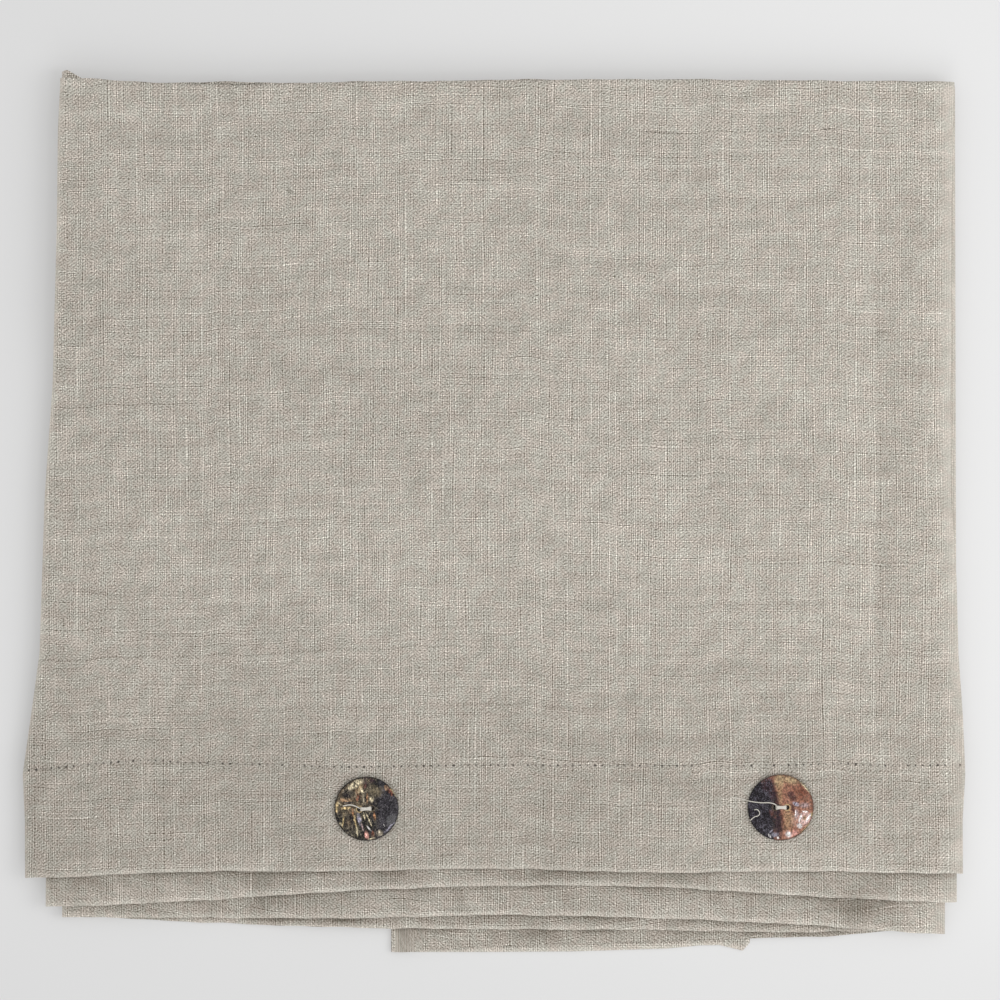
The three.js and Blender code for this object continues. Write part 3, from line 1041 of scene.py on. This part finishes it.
def srgb(*screen):
    """A colour for a shader from its values on a screen, 0 to 255."""
    shares = [value / 255 for value in screen]
    linear = [c / 12.92 if c <= 0.04045 else ((c + 0.055) / 1.055) ** 2.4 for c in shares]
    return (*linear, 1.0)


WARP_PITCH, WEFT_PITCH = 0.855, 0.657
MEAN_ROUND = 0.637  # of a thread's round face, so that it adds nothing to the mean tone
TWIST_TONE, PASSING_TONE, KNOT_TONE = 0.19, 0.12, 1.4


def weave_tone(g, u, v, crisp):
    """How light plain weave is from place to place, about 1, with its uneven threads."""

    def roundness(threads):
        return g.math("SINE", g.times(g.math("FRACT", threads), math.pi))

    def crossing(threads):
        return g.math("COSINE", g.times(threads, math.pi))

    across = g.math("DIVIDE", u, WARP_PITCH * MM)
    along = g.math("DIVIDE", v, WEFT_PITCH * MM)
    across = g.raised(across, g.unevenness(g.times(across, 0.42), g.times(v, 12.0)), 1.1)
    along = g.raised(along, g.unevenness(g.times(u, 9.0), g.times(along, 0.42)), 1.1)
    warp, weft = g.math("FLOOR", across), g.math("FLOOR", along)
    warp_round, weft_round = roundness(across), roundness(along)

    # each thread stands out from the gaps beside it by its own amount, which changes along it, as painted
    # highlight on its round face and painted shade in the gaps
    warp_run = g.unevenness(g.times(warp, 7.31), g.times(v, 40.0), 2.0)
    weft_run = g.unevenness(g.times(u, 40.0), g.times(weft, 5.17), 2.0)
    warp_own = g.ramp(g.random(warp, 11.0), 0, 1, 0.25, 1.0)
    weft_own = g.ramp(g.random(weft, 47.0), 0, 1, 0.1, 1.0)
    warp_clear = g.times(g.plus(warp_own, g.ramp(warp_run, 0.25, 0.75, -0.75, 0.75)), crisp)
    weft_clear = g.plus(weft_own, g.ramp(weft_run, 0.25, 0.75, -0.6, 0.6))
    tone = g.raised(1.0, warp_clear, g.minus(warp_round, MEAN_ROUND))
    tone = g.raised(tone, weft_clear, g.minus(weft_round, MEAN_ROUND))

    # the threads pass over and under each other, and their twist slants each crossing
    tone = g.raised(tone, crossing(g.minus(across, along)), TWIST_TONE)
    tone = g.raised(tone, crossing(g.plus(across, along)), PASSING_TONE)
    tone = g.raised(tone, crossing(along), g.ramp(weft_run, 0.3, 0.7, -0.02, 0.12))
    tone = g.plus(tone, g.ramp(g.random(weft, 3.0), 0, 1, -0.045, 0.045))
    place = {"Vector": g.combine(warp, weft)}
    cell = g.add("ShaderNodeTexWhiteNoise", place, noise_dimensions="2D").outputs[0]
    knot = g.minus(g.times(warp_round, weft_round), MEAN_ROUND**2)
    tone = g.raised(tone, g.ramp(cell, 0, 1, -KNOT_TONE, KNOT_TONE), knot)

    # a few threads run paler and thicker, or duller, for a while
    for thread, seed, rare, run, amount in (
        (warp, 23.0, 0.86, (warp_run, 0.45, 0.65), 0.14),
        (weft, 71.0, 0.88, (weft_run, 0.48, 0.66), 0.13),
        (weft, 87.0, 0.9, (weft_run, 0.4, 0.58, 1.0, 0.0), -0.12),
    ):
        chosen = g.span(g.random(thread, seed), rare, 1.0)
        tone = g.raised(tone, g.times(chosen, g.span(*run)), amount)
    return tone


def crispness(g, seen):
    """How clear the warp is. It is faint toward the left and in one worn oval patch."""
    from_left = g.span(g.split(seen)[0], -0.16, -0.05, 0.84, 1.03)
    limp = g.oval(seen, (0.05, 0.034, 1), centre=(-0.118, -0.066))
    return g.minus(from_left, g.span(limp, 0.6, 1.3, 0.34, 0.0))


def wear_highlight_and_shade_tone(g, seen, past, behind, inside):
    """The tone of the folded cloth, about 1: pale at fold noses and long edges, from wear and as painted
    highlight, and darker just under a fold as painted shade.
    """
    # the pale noses and long edges: wear and painted highlight
    nose = g.times(g.span(behind, 0.2, 3.0, 1.0, 0.0), g.span(behind, -0.5, 0.4, 0.6, 1.0))
    rim = g.math("MAXIMUM", nose, g.ramp(inside, 0.0, 2.6, 0.8, 0.0))
    # painted shade on a ply just out from under the fold above it, in soft blotches
    shade_blotches = g.noise(g.vector("MULTIPLY", seen, (42.0, 90.0, 0.0)), 1.0)
    close_by = g.times(g.span(past, 0.2, 1.8, 0.1, 0.0), g.span(shade_blotches, 0.35, 0.6, 0.1, 1.2))
    near = g.times(g.ramp(past, 0.0, 6.5, 0.13, 0.0), g.span(shade_blotches, 0.38, 0.6, 0.2, 1.3))
    shadow = g.times(g.span(past, -4.0, -2.0), g.plus(close_by, near))
    # the patches' tone, with their painted light and shade
    tone_from_patches = g.add("ShaderNodeAttribute", attribute_name="wash").outputs["Fac"]
    return g.minus(g.plus(g.raised(1.0, rim, 0.25), tone_from_patches), shadow)


def needle_holes(g):
    """The needle holes along the hem, painted dark as the shade in them, of uneven size and depth: 1 in a
    hole and 0 beside it.
    """
    hem_x, hem_y, _ = g.split(g.add("ShaderNodeUVMap", uv_map="hem").outputs[0])
    stitch = g.plus(g.math("DIVIDE", g.minus(hem_x, SEAM[0].x * MM), STITCH_PITCH * MM), 0.5)
    number = g.math("FLOOR", stitch)
    x = g.times(g.minus(g.math("FRACT", stitch), 0.5), STITCH_PITCH)
    y = g.math("DIVIDE", hem_y, MM)
    size = g.ramp(g.random(number, 5.0), 0, 1, 0.24, 0.46)
    hole = g.span(g.minus(g.vector("LENGTH", g.combine(x, y)), size), -0.12, 0.22, 1.0, 0.0)
    hole = g.times(hole, g.math("LESS_THAN", g.math("ABSOLUTE", y), 3.0))
    return g.times(hole, g.ramp(g.random(number, 31.0), 0, 0.6, 0.45, 1.0))


# Painted shade of soft crumples of the cloth, all over, longer across it than along it and rising to the
# right.
CRUMPLE_SHADE = table(
    "turn length width depth",
    (6, 19, 7.5, 0.045),
    (42, 11, 5.5, 0.05),
    (68, 10, 5.5, 0.045),
    (0, 60, 30, 0.03),
)
WARM_YARN, COOL_YARN = (0.477, 0.429, 0.375, 1), (0.458, 0.433, 0.379, 1)
HOLE_SHADE = (0.05, 0.043, 0.037, 1)


def linen_material():
    """Washed plain-woven linen: uneven threads, slubs, mottling and the hem's needle holes, with painted
    light and shade at its folds, edges, creases and crumples and in the needle holes.
    """
    finish = {"Specular IOR Level": 0.25, "Sheen Weight": 0.3, "Sheen Roughness": 0.35}
    material, g, shader = new_material("washed_linen", {"Roughness": 0.88, **finish})
    place = g.add("ShaderNodeUVMap", uv_map="weave").outputs[0]
    seen = g.object_place()
    edges = g.add("ShaderNodeAttribute", attribute_name="edges").outputs["Vector"]
    past, behind, inside = g.split(edges)
    moved = g.drifted(place, g.noise(place, 14.0, 2.0, 0.5, "2D", "Color"), 2.0 * MM)
    u, v, _ = g.split(moved)
    fibre = g.noise(place, 1250.0, 2.0, 0.7, "2D")
    lit = g.plus(weave_tone(g, u, v, crispness(g, seen)), g.ramp(fibre, 0.25, 0.75, -0.35, 0.35))
    lit = g.math("MAXIMUM", lit, 0.25)

    # the weave is seen less where the cloth turns away, at its long sides and front folds
    facing = g.times(g.span(inside, 0.0, 2.2, 0.3, 1.0), g.span(behind, 0.0, 2.4, 0.5, 1.0))
    lit = g.raised(1.0, g.minus(lit, 1.0), facing)
    # painted shade of the crumples
    for c in CRUMPLE_SHADE:
        patch = g.noise(g.laid(moved, (c.length * MM, c.width * MM, 1), c.turn), 1.0, 2.0, 0.5, "2D")
        lit = g.times(lit, g.ramp(patch, 0.3, 0.7, 1 - c.depth, 1 + c.depth))
    broken = g.span(fibre, 0.35, 0.6, 0.4, 1.5)
    # slubs and flecks, and painted shade along the fine creases
    for m in MARKS:
        size = (m.length / 2 * MM, m.width / 2 * MM, 100)
        middle = g.oval(seen, size, m.turn, (m.x * MM, m.y * MM))
        lit = g.raised(lit, g.span(middle, 0.4, 1.2, m.tone, 0.0), broken)
    lit = g.times(lit, wear_highlight_and_shade_tone(g, seen, past, behind, inside))

    # the shadows between the threads are warmer than their light sides
    tint = g.noise(place, 200.0, 2.0, 0.6, "2D")
    yarn = g.mix(g.span(tint, 0.35, 0.65), COOL_YARN, WARM_YARN)
    colour = g.shaded(yarn, lit, g.raised(-0.04, lit, 1.04), g.raised(-0.09, lit, 1.09))
    # painted shade in the needle holes
    colour = g.mix(g.times(needle_holes(g), 0.92), colour, HOLE_SHADE)
    g.put(shader.inputs["Base Color"], colour)
    return material


def thread_material(name, dark, light, roughness):
    """Spun thread with a fine twist, from a dark to a light colour."""
    material, g, shader = new_material(name, {"Roughness": roughness})
    twist = g.noise(g.object_place(), 2600.0)
    g.put(shader.inputs["Base Color"], g.mix(twist, srgb(*dark), srgb(*light)))
    g.put(shader.inputs["Normal"], g.bump(twist, 0.08 * MM, 0.6))
    return material


INKS = {
    "black": (16, 15, 18),
    "slate": (37, 34, 39),
    "ash": (138, 133, 138),
    "smoke": (100, 90, 72),
    "olive": (42, 40, 36),
    "bark": (94, 80, 64),
    "tan": (168, 146, 114),
    "gold": (196, 172, 126),
    "orange": (164, 118, 84),
    "rust": (112, 68, 52),
    "plum": (50, 34, 40),
    "salmon": (190, 138, 128),
    "cream": (214, 200, 168),
    "stone": (168, 156, 136),
    "lavender": (148, 144, 158),
    "copper": (146, 102, 84),
    "umber": (152, 120, 92),
    "mahogany": (86, 54, 50),
    "pearl": (158, 136, 136),
    "rose": (198, 166, 160),
    "white": (238, 232, 230),
    "night": (26, 21, 26),
}

# Patches of colour in each shell, from its centre, laid on in order. A few of them are painted
# highlights.
DARK_PATCHES = table(
    "ink x y across along turn edge",
    ("slate", 7.5, -1, 7.5, 12, 0, 0.4),
    ("bark", -6, 4, 7, 8, 20, 0.6),
    ("black", -0.5, -5, 5.2, 5.5, 0),
    ("smoke", 3.5, 7.0, 2.9, 2.8, 0, 0.7),
    ("black", 4.5, 9.7, 3.5, 1.2, -14),
    ("plum", 0.2, 10.8, 2.9, 1.5, 0, 0.4),
    ("bark", 1.0, 11.0, 1.6, 0.25, 50),
    ("mahogany", -0.8, 8.6, 0.8, 1.0, 0, 0.6),
    ("umber", 7.5, 8.0, 0.8, 1.1, 10, 0.6),
    ("rust", 9.1, 6.3, 0.7, 1.6, 30),
    ("gold", 10.0, 6.6, 0.4, 3.0, 33),
    ("cream", 10.7, 5.6, 0.3, 1.8, 30),
    ("cream", -4.6, 9.0, 3.5, 1.2, 34, 0.6),
    ("olive", -4.5, 9.3, 0.3, 1.3, -10),
    ("black", -8.4, 8.6, 3.0, 0.35, 42),
    ("night", -7.1, 5.7, 2.6, 1.7, 6, 0.3),
    ("umber", -7.9, 3.2, 2.5, 0.75, -4),
    ("slate", -6.8, 2.3, 2.4, 0.4, 0),
    ("tan", -2.6, 7.6, 0.8, 2.0, -24),
    ("umber", -3.7, 5.6, 0.5, 1.8, 8),
    ("cream", -1.8, 6.6, 0.5, 1.3, 14),
    ("rust", -3.4, 4.1, 0.6, 1.4, -6),
    ("night", -2.6, 3.4, 0.4, 1.4, 10),
    ("stone", -1.2, 4.2, 0.35, 1.9, 0),
    ("night", -0.4, 4.6, 0.3, 2.4, -4),
    ("orange", 0.2, 4.1, 0.4, 1.7, 0),
    ("cream", 1.9, 3.5, 0.8, 1.0, 30, 0.7),
    ("black", 4.0, 1.6, 0.9, 2.9, 4),
    ("gold", -11.2, 0.6, 0.6, 2.0, -4),
    ("cream", -10.0, 1.7, 0.3, 1.0, 45),
    ("gold", -7.8, 0.2, 1.7, 0.5, 4),
    ("orange", -5.2, -1.2, 0.4, 1.8, 4),
    ("black", -10.4, -3.3, 1.2, 1.7, 0, 0.4),
    ("night", -6.5, -5.9, 1.9, 3.7, 6, 0.25),
    ("bark", -6.8, -5.4, 0.9, 1.7, 8, 0.9),
    ("gold", -8.9, -4.3, 0.35, 2.7, -8),
    ("cream", -9.8, -5.9, 0.5, 0.8, 20),
    ("gold", -4.4, -4.6, 0.35, 2.6, 8),
    ("cream", -3.6, -8.4, 0.4, 2.2, 4),
    ("lavender", -2.8, -3.9, 0.7, 2.5, 10),
    ("pearl", -1.6, -6.9, 0.45, 1.5, 20),
    ("cream", -0.9, -2.9, 0.28, 1.5, 12),
    ("cream", 0.8, -4.0, 0.26, 2.9, 25),
    ("white", 1.0, -7.5, 0.3, 1.4, 42),
    ("slate", 2.2, -3.6, 0.4, 2.4, 16),
    ("orange", 3.0, -2.8, 0.4, 1.6, 6),
    ("salmon", 0.0, -10.0, 0.8, 1.7, 8),
    ("rust", 2.4, -9.9, 0.6, 1.7, 6),
    ("cream", 2.0, -11.3, 1.2, 0.25, 6),
    ("stone", 5.0, -9.2, 1.2, 1.1, 0, 0.7),
    ("lavender", 8.9, -6.9, 0.3, 2.9, -45),
    # painted highlight
    ("white", 6.7, -6.3, 0.3, 0.6, 25),
    edge=0.5,
)
BROWN_PATCHES = table(
    "ink x y across along turn edge",
    ("tan", -0.6, 10, 1.9, 3.2, 0, 0.6),
    ("tan", 3.8, 10.4, 3.4, 1.6, -14, 0.9),
    ("umber", -0.3, 5.5, 1.0, 5.0, 4, 0.8),
    ("umber", 2.8, -4.2, 2.2, 5.0, 0, 0.8),
    ("rust", 7.6, 5.6, 3.6, 2.8, -40, 0.9),
    ("mahogany", 3.8, 4.9, 1.5, 1.5, 0),
    ("mahogany", 4.9, 3.4, 1.0, 1.3, -30, 0.6),
    ("mahogany", 4.7, -0.4, 0.7, 2.0, 20, 0.6),
    ("rust", 0.6, -4.2, 0.6, 2.4, 12, 0.6),
    ("pearl", 9.0, 0.8, 2.0, 1.0, 0, 0.7),
    ("lavender", 5.8, 1.3, 1.3, 0.8, -30),
    ("plum", 5.4, 1.5, 0.2, 0.9, -30),
    ("pearl", 6.1, -2.5, 0.8, 1.8, -6),
    ("white", 5.6, -2.2, 0.25, 1.3, -8),
    # painted highlight
    ("rose", 9.1, -4.2, 2.3, 2.7, 0),
    # painted highlight
    ("white", 10.6, -3.8, 0.5, 1.8, -30),
    # painted highlight
    ("white", 7.4, -4.0, 0.4, 1.8, -18),
    # painted highlight
    ("white", 9.3, -1.6, 1.2, 0.3, -10),
    ("umber", 9.0, -4.0, 0.8, 1.1, -20, 0.6),
    # painted highlight
    ("white", 7.2, -7.0, 1.1, 0.9, -20),
    ("mahogany", 9.1, -8.3, 0.4, 1.8, -38),
    ("salmon", 5.4, -9.6, 1.5, 1.1, 20, 0.7),
    # painted highlight along the rim
    ("cream", 9.2, 8.0, 0.5, 5.0, 41, 0.6),
    ("rust", 11.8, 0.6, 0.5, 2.6, 4),
    ("gold", 11.9, -2.7, 0.4, 0.9, -10),
    ("gold", 9.9, -7.2, 0.25, 3.6, -42),
    ("plum", -2.6, 0, 2.6, 13, 11, 0.35),
    ("night", -10.9, -2.6, 8.4, 18, 11, 0.1),
    ("plum", -5.0, 8.5, 2.4, 2.6, 0, 0.7),
    ("mahogany", -3.4, -2.2, 0.9, 1.4, 20, 0.7),
    ("rose", 3.0, -10.2, 1.5, 1.5, 0, 0.4),
    ("white", 2.9, -10.2, 1.0, 1.1, 0, 0.4),
    ("lavender", -2.3, -10.4, 1.5, 0.9, 5, 0.8),
    ("white", -4.2, -10.8, 0.3, 0.9, 30),
    # painted highlight
    ("white", -1.0, -11.5, 0.5, 0.5, 0, 0.6),
    ("lavender", -3.6, -9.0, 0.9, 0.25, 40, 0.6),
    edge=0.5,
)

# The look of each button in turn. Flecks fill the dark part of a shell, between two places in x, and
# its veins lie outside it.
SHELLS = table(
    "slot base patches fleck flecks_from flecks_full vein veins glints rough gilt_hole",
    ("dark_shell", "olive", DARK_PATCHES, "ash", 2.5, 5.5, "stone", 0.45, 0.3, 1.0, 0),
    ("brown_shell", "copper", BROWN_PATCHES, "lavender", -2, -4.5, "rust", 0.5, 0.12, 0.35, 1),
)


def ink(name):
    return srgb(*INKS[name])


def shell_grain():
    """The broken grain of a shell: drift for ragged edges, clouds, flecks, grit, veins and waves."""
    group = bpy.data.node_groups.new("shell_grain", "ShaderNodeTree")
    group.interface.new_socket("Place", in_out="INPUT", socket_type="NodeSocketVector")
    group.interface.new_socket("Drift", in_out="OUTPUT", socket_type="NodeSocketColor")
    for name in ("Clouds", "Flecks", "Grit", "Veins", "Waves"):
        group.interface.new_socket(name, in_out="OUTPUT", socket_type="NodeSocketFloat")
    g = Graph(group)
    place = g.add("NodeGroupInput").outputs["Place"]
    streaky = g.vector("MULTIPLY", place, (1.4, 0.6, 1.0))
    maze = g.math("ABSOLUTE", g.minus(g.noise(place, 1.0, 3.0, 0.7), 0.5))
    maze = g.times(g.span(maze, 0.0, 0.03, 1.0, 0.0), g.span(g.noise(place, 0.6), 0.42, 0.6))
    blobs = g.span(g.noise(place, 2.4, 2.0, 0.8), 0.58, 0.7)
    ridge = g.math("ABSOLUTE", g.minus(g.noise(streaky, 0.42, 4.0, 0.6), 0.5))
    broken = g.span(g.noise(place, 0.5, 1.0), 0.4, 0.55)
    outputs = {
        "Drift": g.noise(place, 0.8, 5.0, 0.75, output="Color"),
        "Clouds": g.noise(streaky, 1.1, 5.0, 0.75),
        "Flecks": g.math("MAXIMUM", maze, blobs),
        "Grit": g.noise(place, 1.5, 2.0, 0.7),
        "Veins": g.times(g.span(ridge, 0.0, 0.035, 1.0, 0.0), broken),
        "Waves": g.noise(place, 0.38, 3.0, 0.55),
    }
    g.add("NodeGroupOutput", outputs)
    return group


def patched(g, place, look):
    """The base colour of a shell with its patches over it."""
    colour = ink(look.base)
    for p in look.patches:
        middle = g.oval(place, (p.across, p.along, 50), p.turn, (p.x, p.y))
        mask = g.span(middle, 1 - p.edge, 1 + p.edge * 0.6, 1.0, 0.0)
        colour = g.mix(mask, colour, ink(p.ink))
    return colour


def hole_rims(g, flat, colour, button, look):
    """Each thread hole is painted black as the shade in it, with a worn ring that is gilt at one of the
    two.
    """
    for number, hole in enumerate(hole_places(button)):
        away = g.vector("DISTANCE", flat, (*hole, 0))
        gilt = 0.75 if number == look.gilt_hole else 0.1
        ring = g.times(g.span(away, 0.9, 1.05), g.span(away, 1.2, 1.45, gilt, 0.0))
        colour = g.mix(ring, colour, ink("gold"))
        # painted shade in the hole
        colour = g.mix(g.span(away, 0.75, 0.9, 1.0, 0.0), colour, ink("black"))
    return colour


def shell_material(button, look, grain_group):
    """Polished shell: patches of colour with ragged edges, some of them painted highlights, clouds and
    flecks, under a gloss, with painted shade at its rim and in its holes.
    """
    finish = {"Specular IOR Level": 0.14, "Coat Weight": 0.2, "Coat Roughness": 0.06}
    material, g, shader = new_material(button.name.replace("button", "shell"), finish)
    centred = g.vector("SUBTRACT", g.object_place(), (button.x * MM, button.y * MM, 0))
    place = g.vector("MULTIPLY", centred, (1 / MM, 1 / MM, 0.3 / MM))
    grain = g.add("ShaderNodeGroup", node_tree=grain_group)
    g.put(grain.inputs["Place"], place)
    clouds, flecks = grain.outputs["Clouds"], grain.outputs["Flecks"]
    ragged = g.drifted(place, grain.outputs["Drift"], 1.3)
    flecked = g.span(g.split(ragged)[0], look.flecks_from, look.flecks_full)
    clear = g.minus(1.0, flecked)

    colour = patched(g, ragged, look)
    veins = g.times(grain.outputs["Veins"], clear)
    colour = g.mix(g.times(veins, look.veins), colour, ink(look.vein))
    mottled = g.times(g.span(clouds, 0.38, 0.52, 0.08, 1.0), g.span(clouds, 0.52, 0.66, 1.0, 2.2))
    rough = g.math("MAXIMUM", flecked, look.rough)
    depth = g.raised(1.0, g.minus(mottled, 1.0), rough)
    colour = g.shaded(colour, depth, depth, depth)
    gritty = g.ramp(grain.outputs["Grit"], 0.35, 0.65, 0.4, 1.65)
    colour = g.shaded(colour, gritty, gritty, gritty)
    colour = g.mix(g.times(g.times(flecks, look.glints), clear), colour, ink("cream"))
    flecks = g.times(flecks, flecked)
    colour = g.mix(g.times(flecks, 0.65), colour, ink(look.fleck))

    flat = g.vector("MULTIPLY", place, (1, 1, 0))
    radius = button.diameter / 2
    # the outer rim is darker: the shell's own darker rim and painted shade at its edge
    dark_rim_and_shade = g.span(g.vector("LENGTH", flat), radius - 0.7, radius - 0.2, 0.0, 0.6)
    colour = g.mix(dark_rim_and_shade, colour, ink("black"))
    g.put(shader.inputs["Base Color"], hole_rims(g, flat, colour, button, look))
    g.put(shader.inputs["Roughness"], g.ramp(clouds, 0.3, 0.7, 0.16, 0.32))
    uneven = g.raised(grain.outputs["Waves"], flecks, 0.03)
    g.put(shader.inputs["Normal"], g.bump(uneven, 1.1 * MM, 0.5))
    return material


def floor_material():
    """A pale table that glows as painted light, stronger to the right and weaker at the front, which
    lightens the shadows on it.
    """
    finish = {
        "Base Color": (0.46, 0.46, 0.46, 1),
        "Emission Color": (1, 1, 1, 1),
        "Roughness": 0.75,
        "Specular IOR Level": 0.2,
    }
    material, g, shader = new_material("pale_table", finish)
    x, y, _ = g.split(g.object_place())
    # painted light: the glow stands in for the light falling on the table
    at_front = g.times(g.span(y, -0.19, -0.12, -0.065, 0.0), g.span(x, -0.19, 0.15, 0.45, 1.0))
    g.put(shader.inputs["Emission Strength"], g.plus(g.span(x, -0.2, 0.2, 0.295, 0.362), at_front))
    return material


# Stage.


def studio():
    """A pale floor, soft lights from the right and the front, and a camera straight above."""
    bpy.ops.object.select_all(action="DESELECT")
    bpy.ops.mesh.primitive_plane_add(size=6, location=(0, 0, 0))
    floor = bpy.context.object
    floor.name = "floor"
    floor.data.materials.append(floor_material())
    for name, place, size, power in (
        ("right light", (0.78, -0.12, 0.8), 0.8, 3.4),
        ("front light", (0.2, -1.2, 1.0), 1.0, 4.5),
        ("window", (0.40, -0.34, 1.5), 0.22, 0.9),
    ):
        lamp = link(name, bpy.data.lights.new(name, "AREA"))
        lamp.data.shape, lamp.data.size, lamp.data.energy = "DISK", size, power
        lamp.location = place
        lamp.rotation_euler = (-Vector(place)).to_track_quat("-Z", "Y").to_euler()
    world = bpy.data.worlds.new("studio")
    world.use_nodes = True
    sky = world.node_tree.nodes["Background"].inputs
    sky["Color"].default_value, sky["Strength"].default_value = (1, 1, 1, 1), 0.68
    bpy.context.scene.world = world
    camera = link("camera", bpy.data.cameras.new("camera"))
    # in metres: how far off it stands, how wide a square it shows, and at what height
    distance, shown, at_height = 10.0, 0.38, 0.01
    camera.data.sensor_width, camera.data.clip_end = 36, 40
    camera.data.lens = camera.data.sensor_width * (distance - at_height) / shown
    camera.location = (2.28 * MM, 4.18 * MM, distance)
    bpy.context.scene.camera = camera
    bpy.context.scene.view_settings.view_transform = "Standard"


# The part.

studio()

cloth = runner_cloth()
cloth.data.materials.append(linen_material())
stitches = hem_stitches()
stitches.data.materials.append(thread_material("seam_thread", (148, 142, 132), (186, 180, 170), 0.85))
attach(cloth, "root")
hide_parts("runner")
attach(stitches, "root")

thread = thread_material("sewing_thread", (176, 170, 160), (236, 231, 222), 0.7)
grain_group = shell_grain()
sewn_on = [stitches]
for button, look in zip(BUTTONS, SHELLS):
    shell = shell_button(button)
    shell.data.materials.clear()
    shell.data.materials.append(shell_material(button, look, grain_group))
    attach(shell, "root")
    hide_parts(button.name)
    strands = button_threads(button)
    strands.data.materials.append(thread)
    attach(strands, "root")
    sewn_on += [shell, strands]
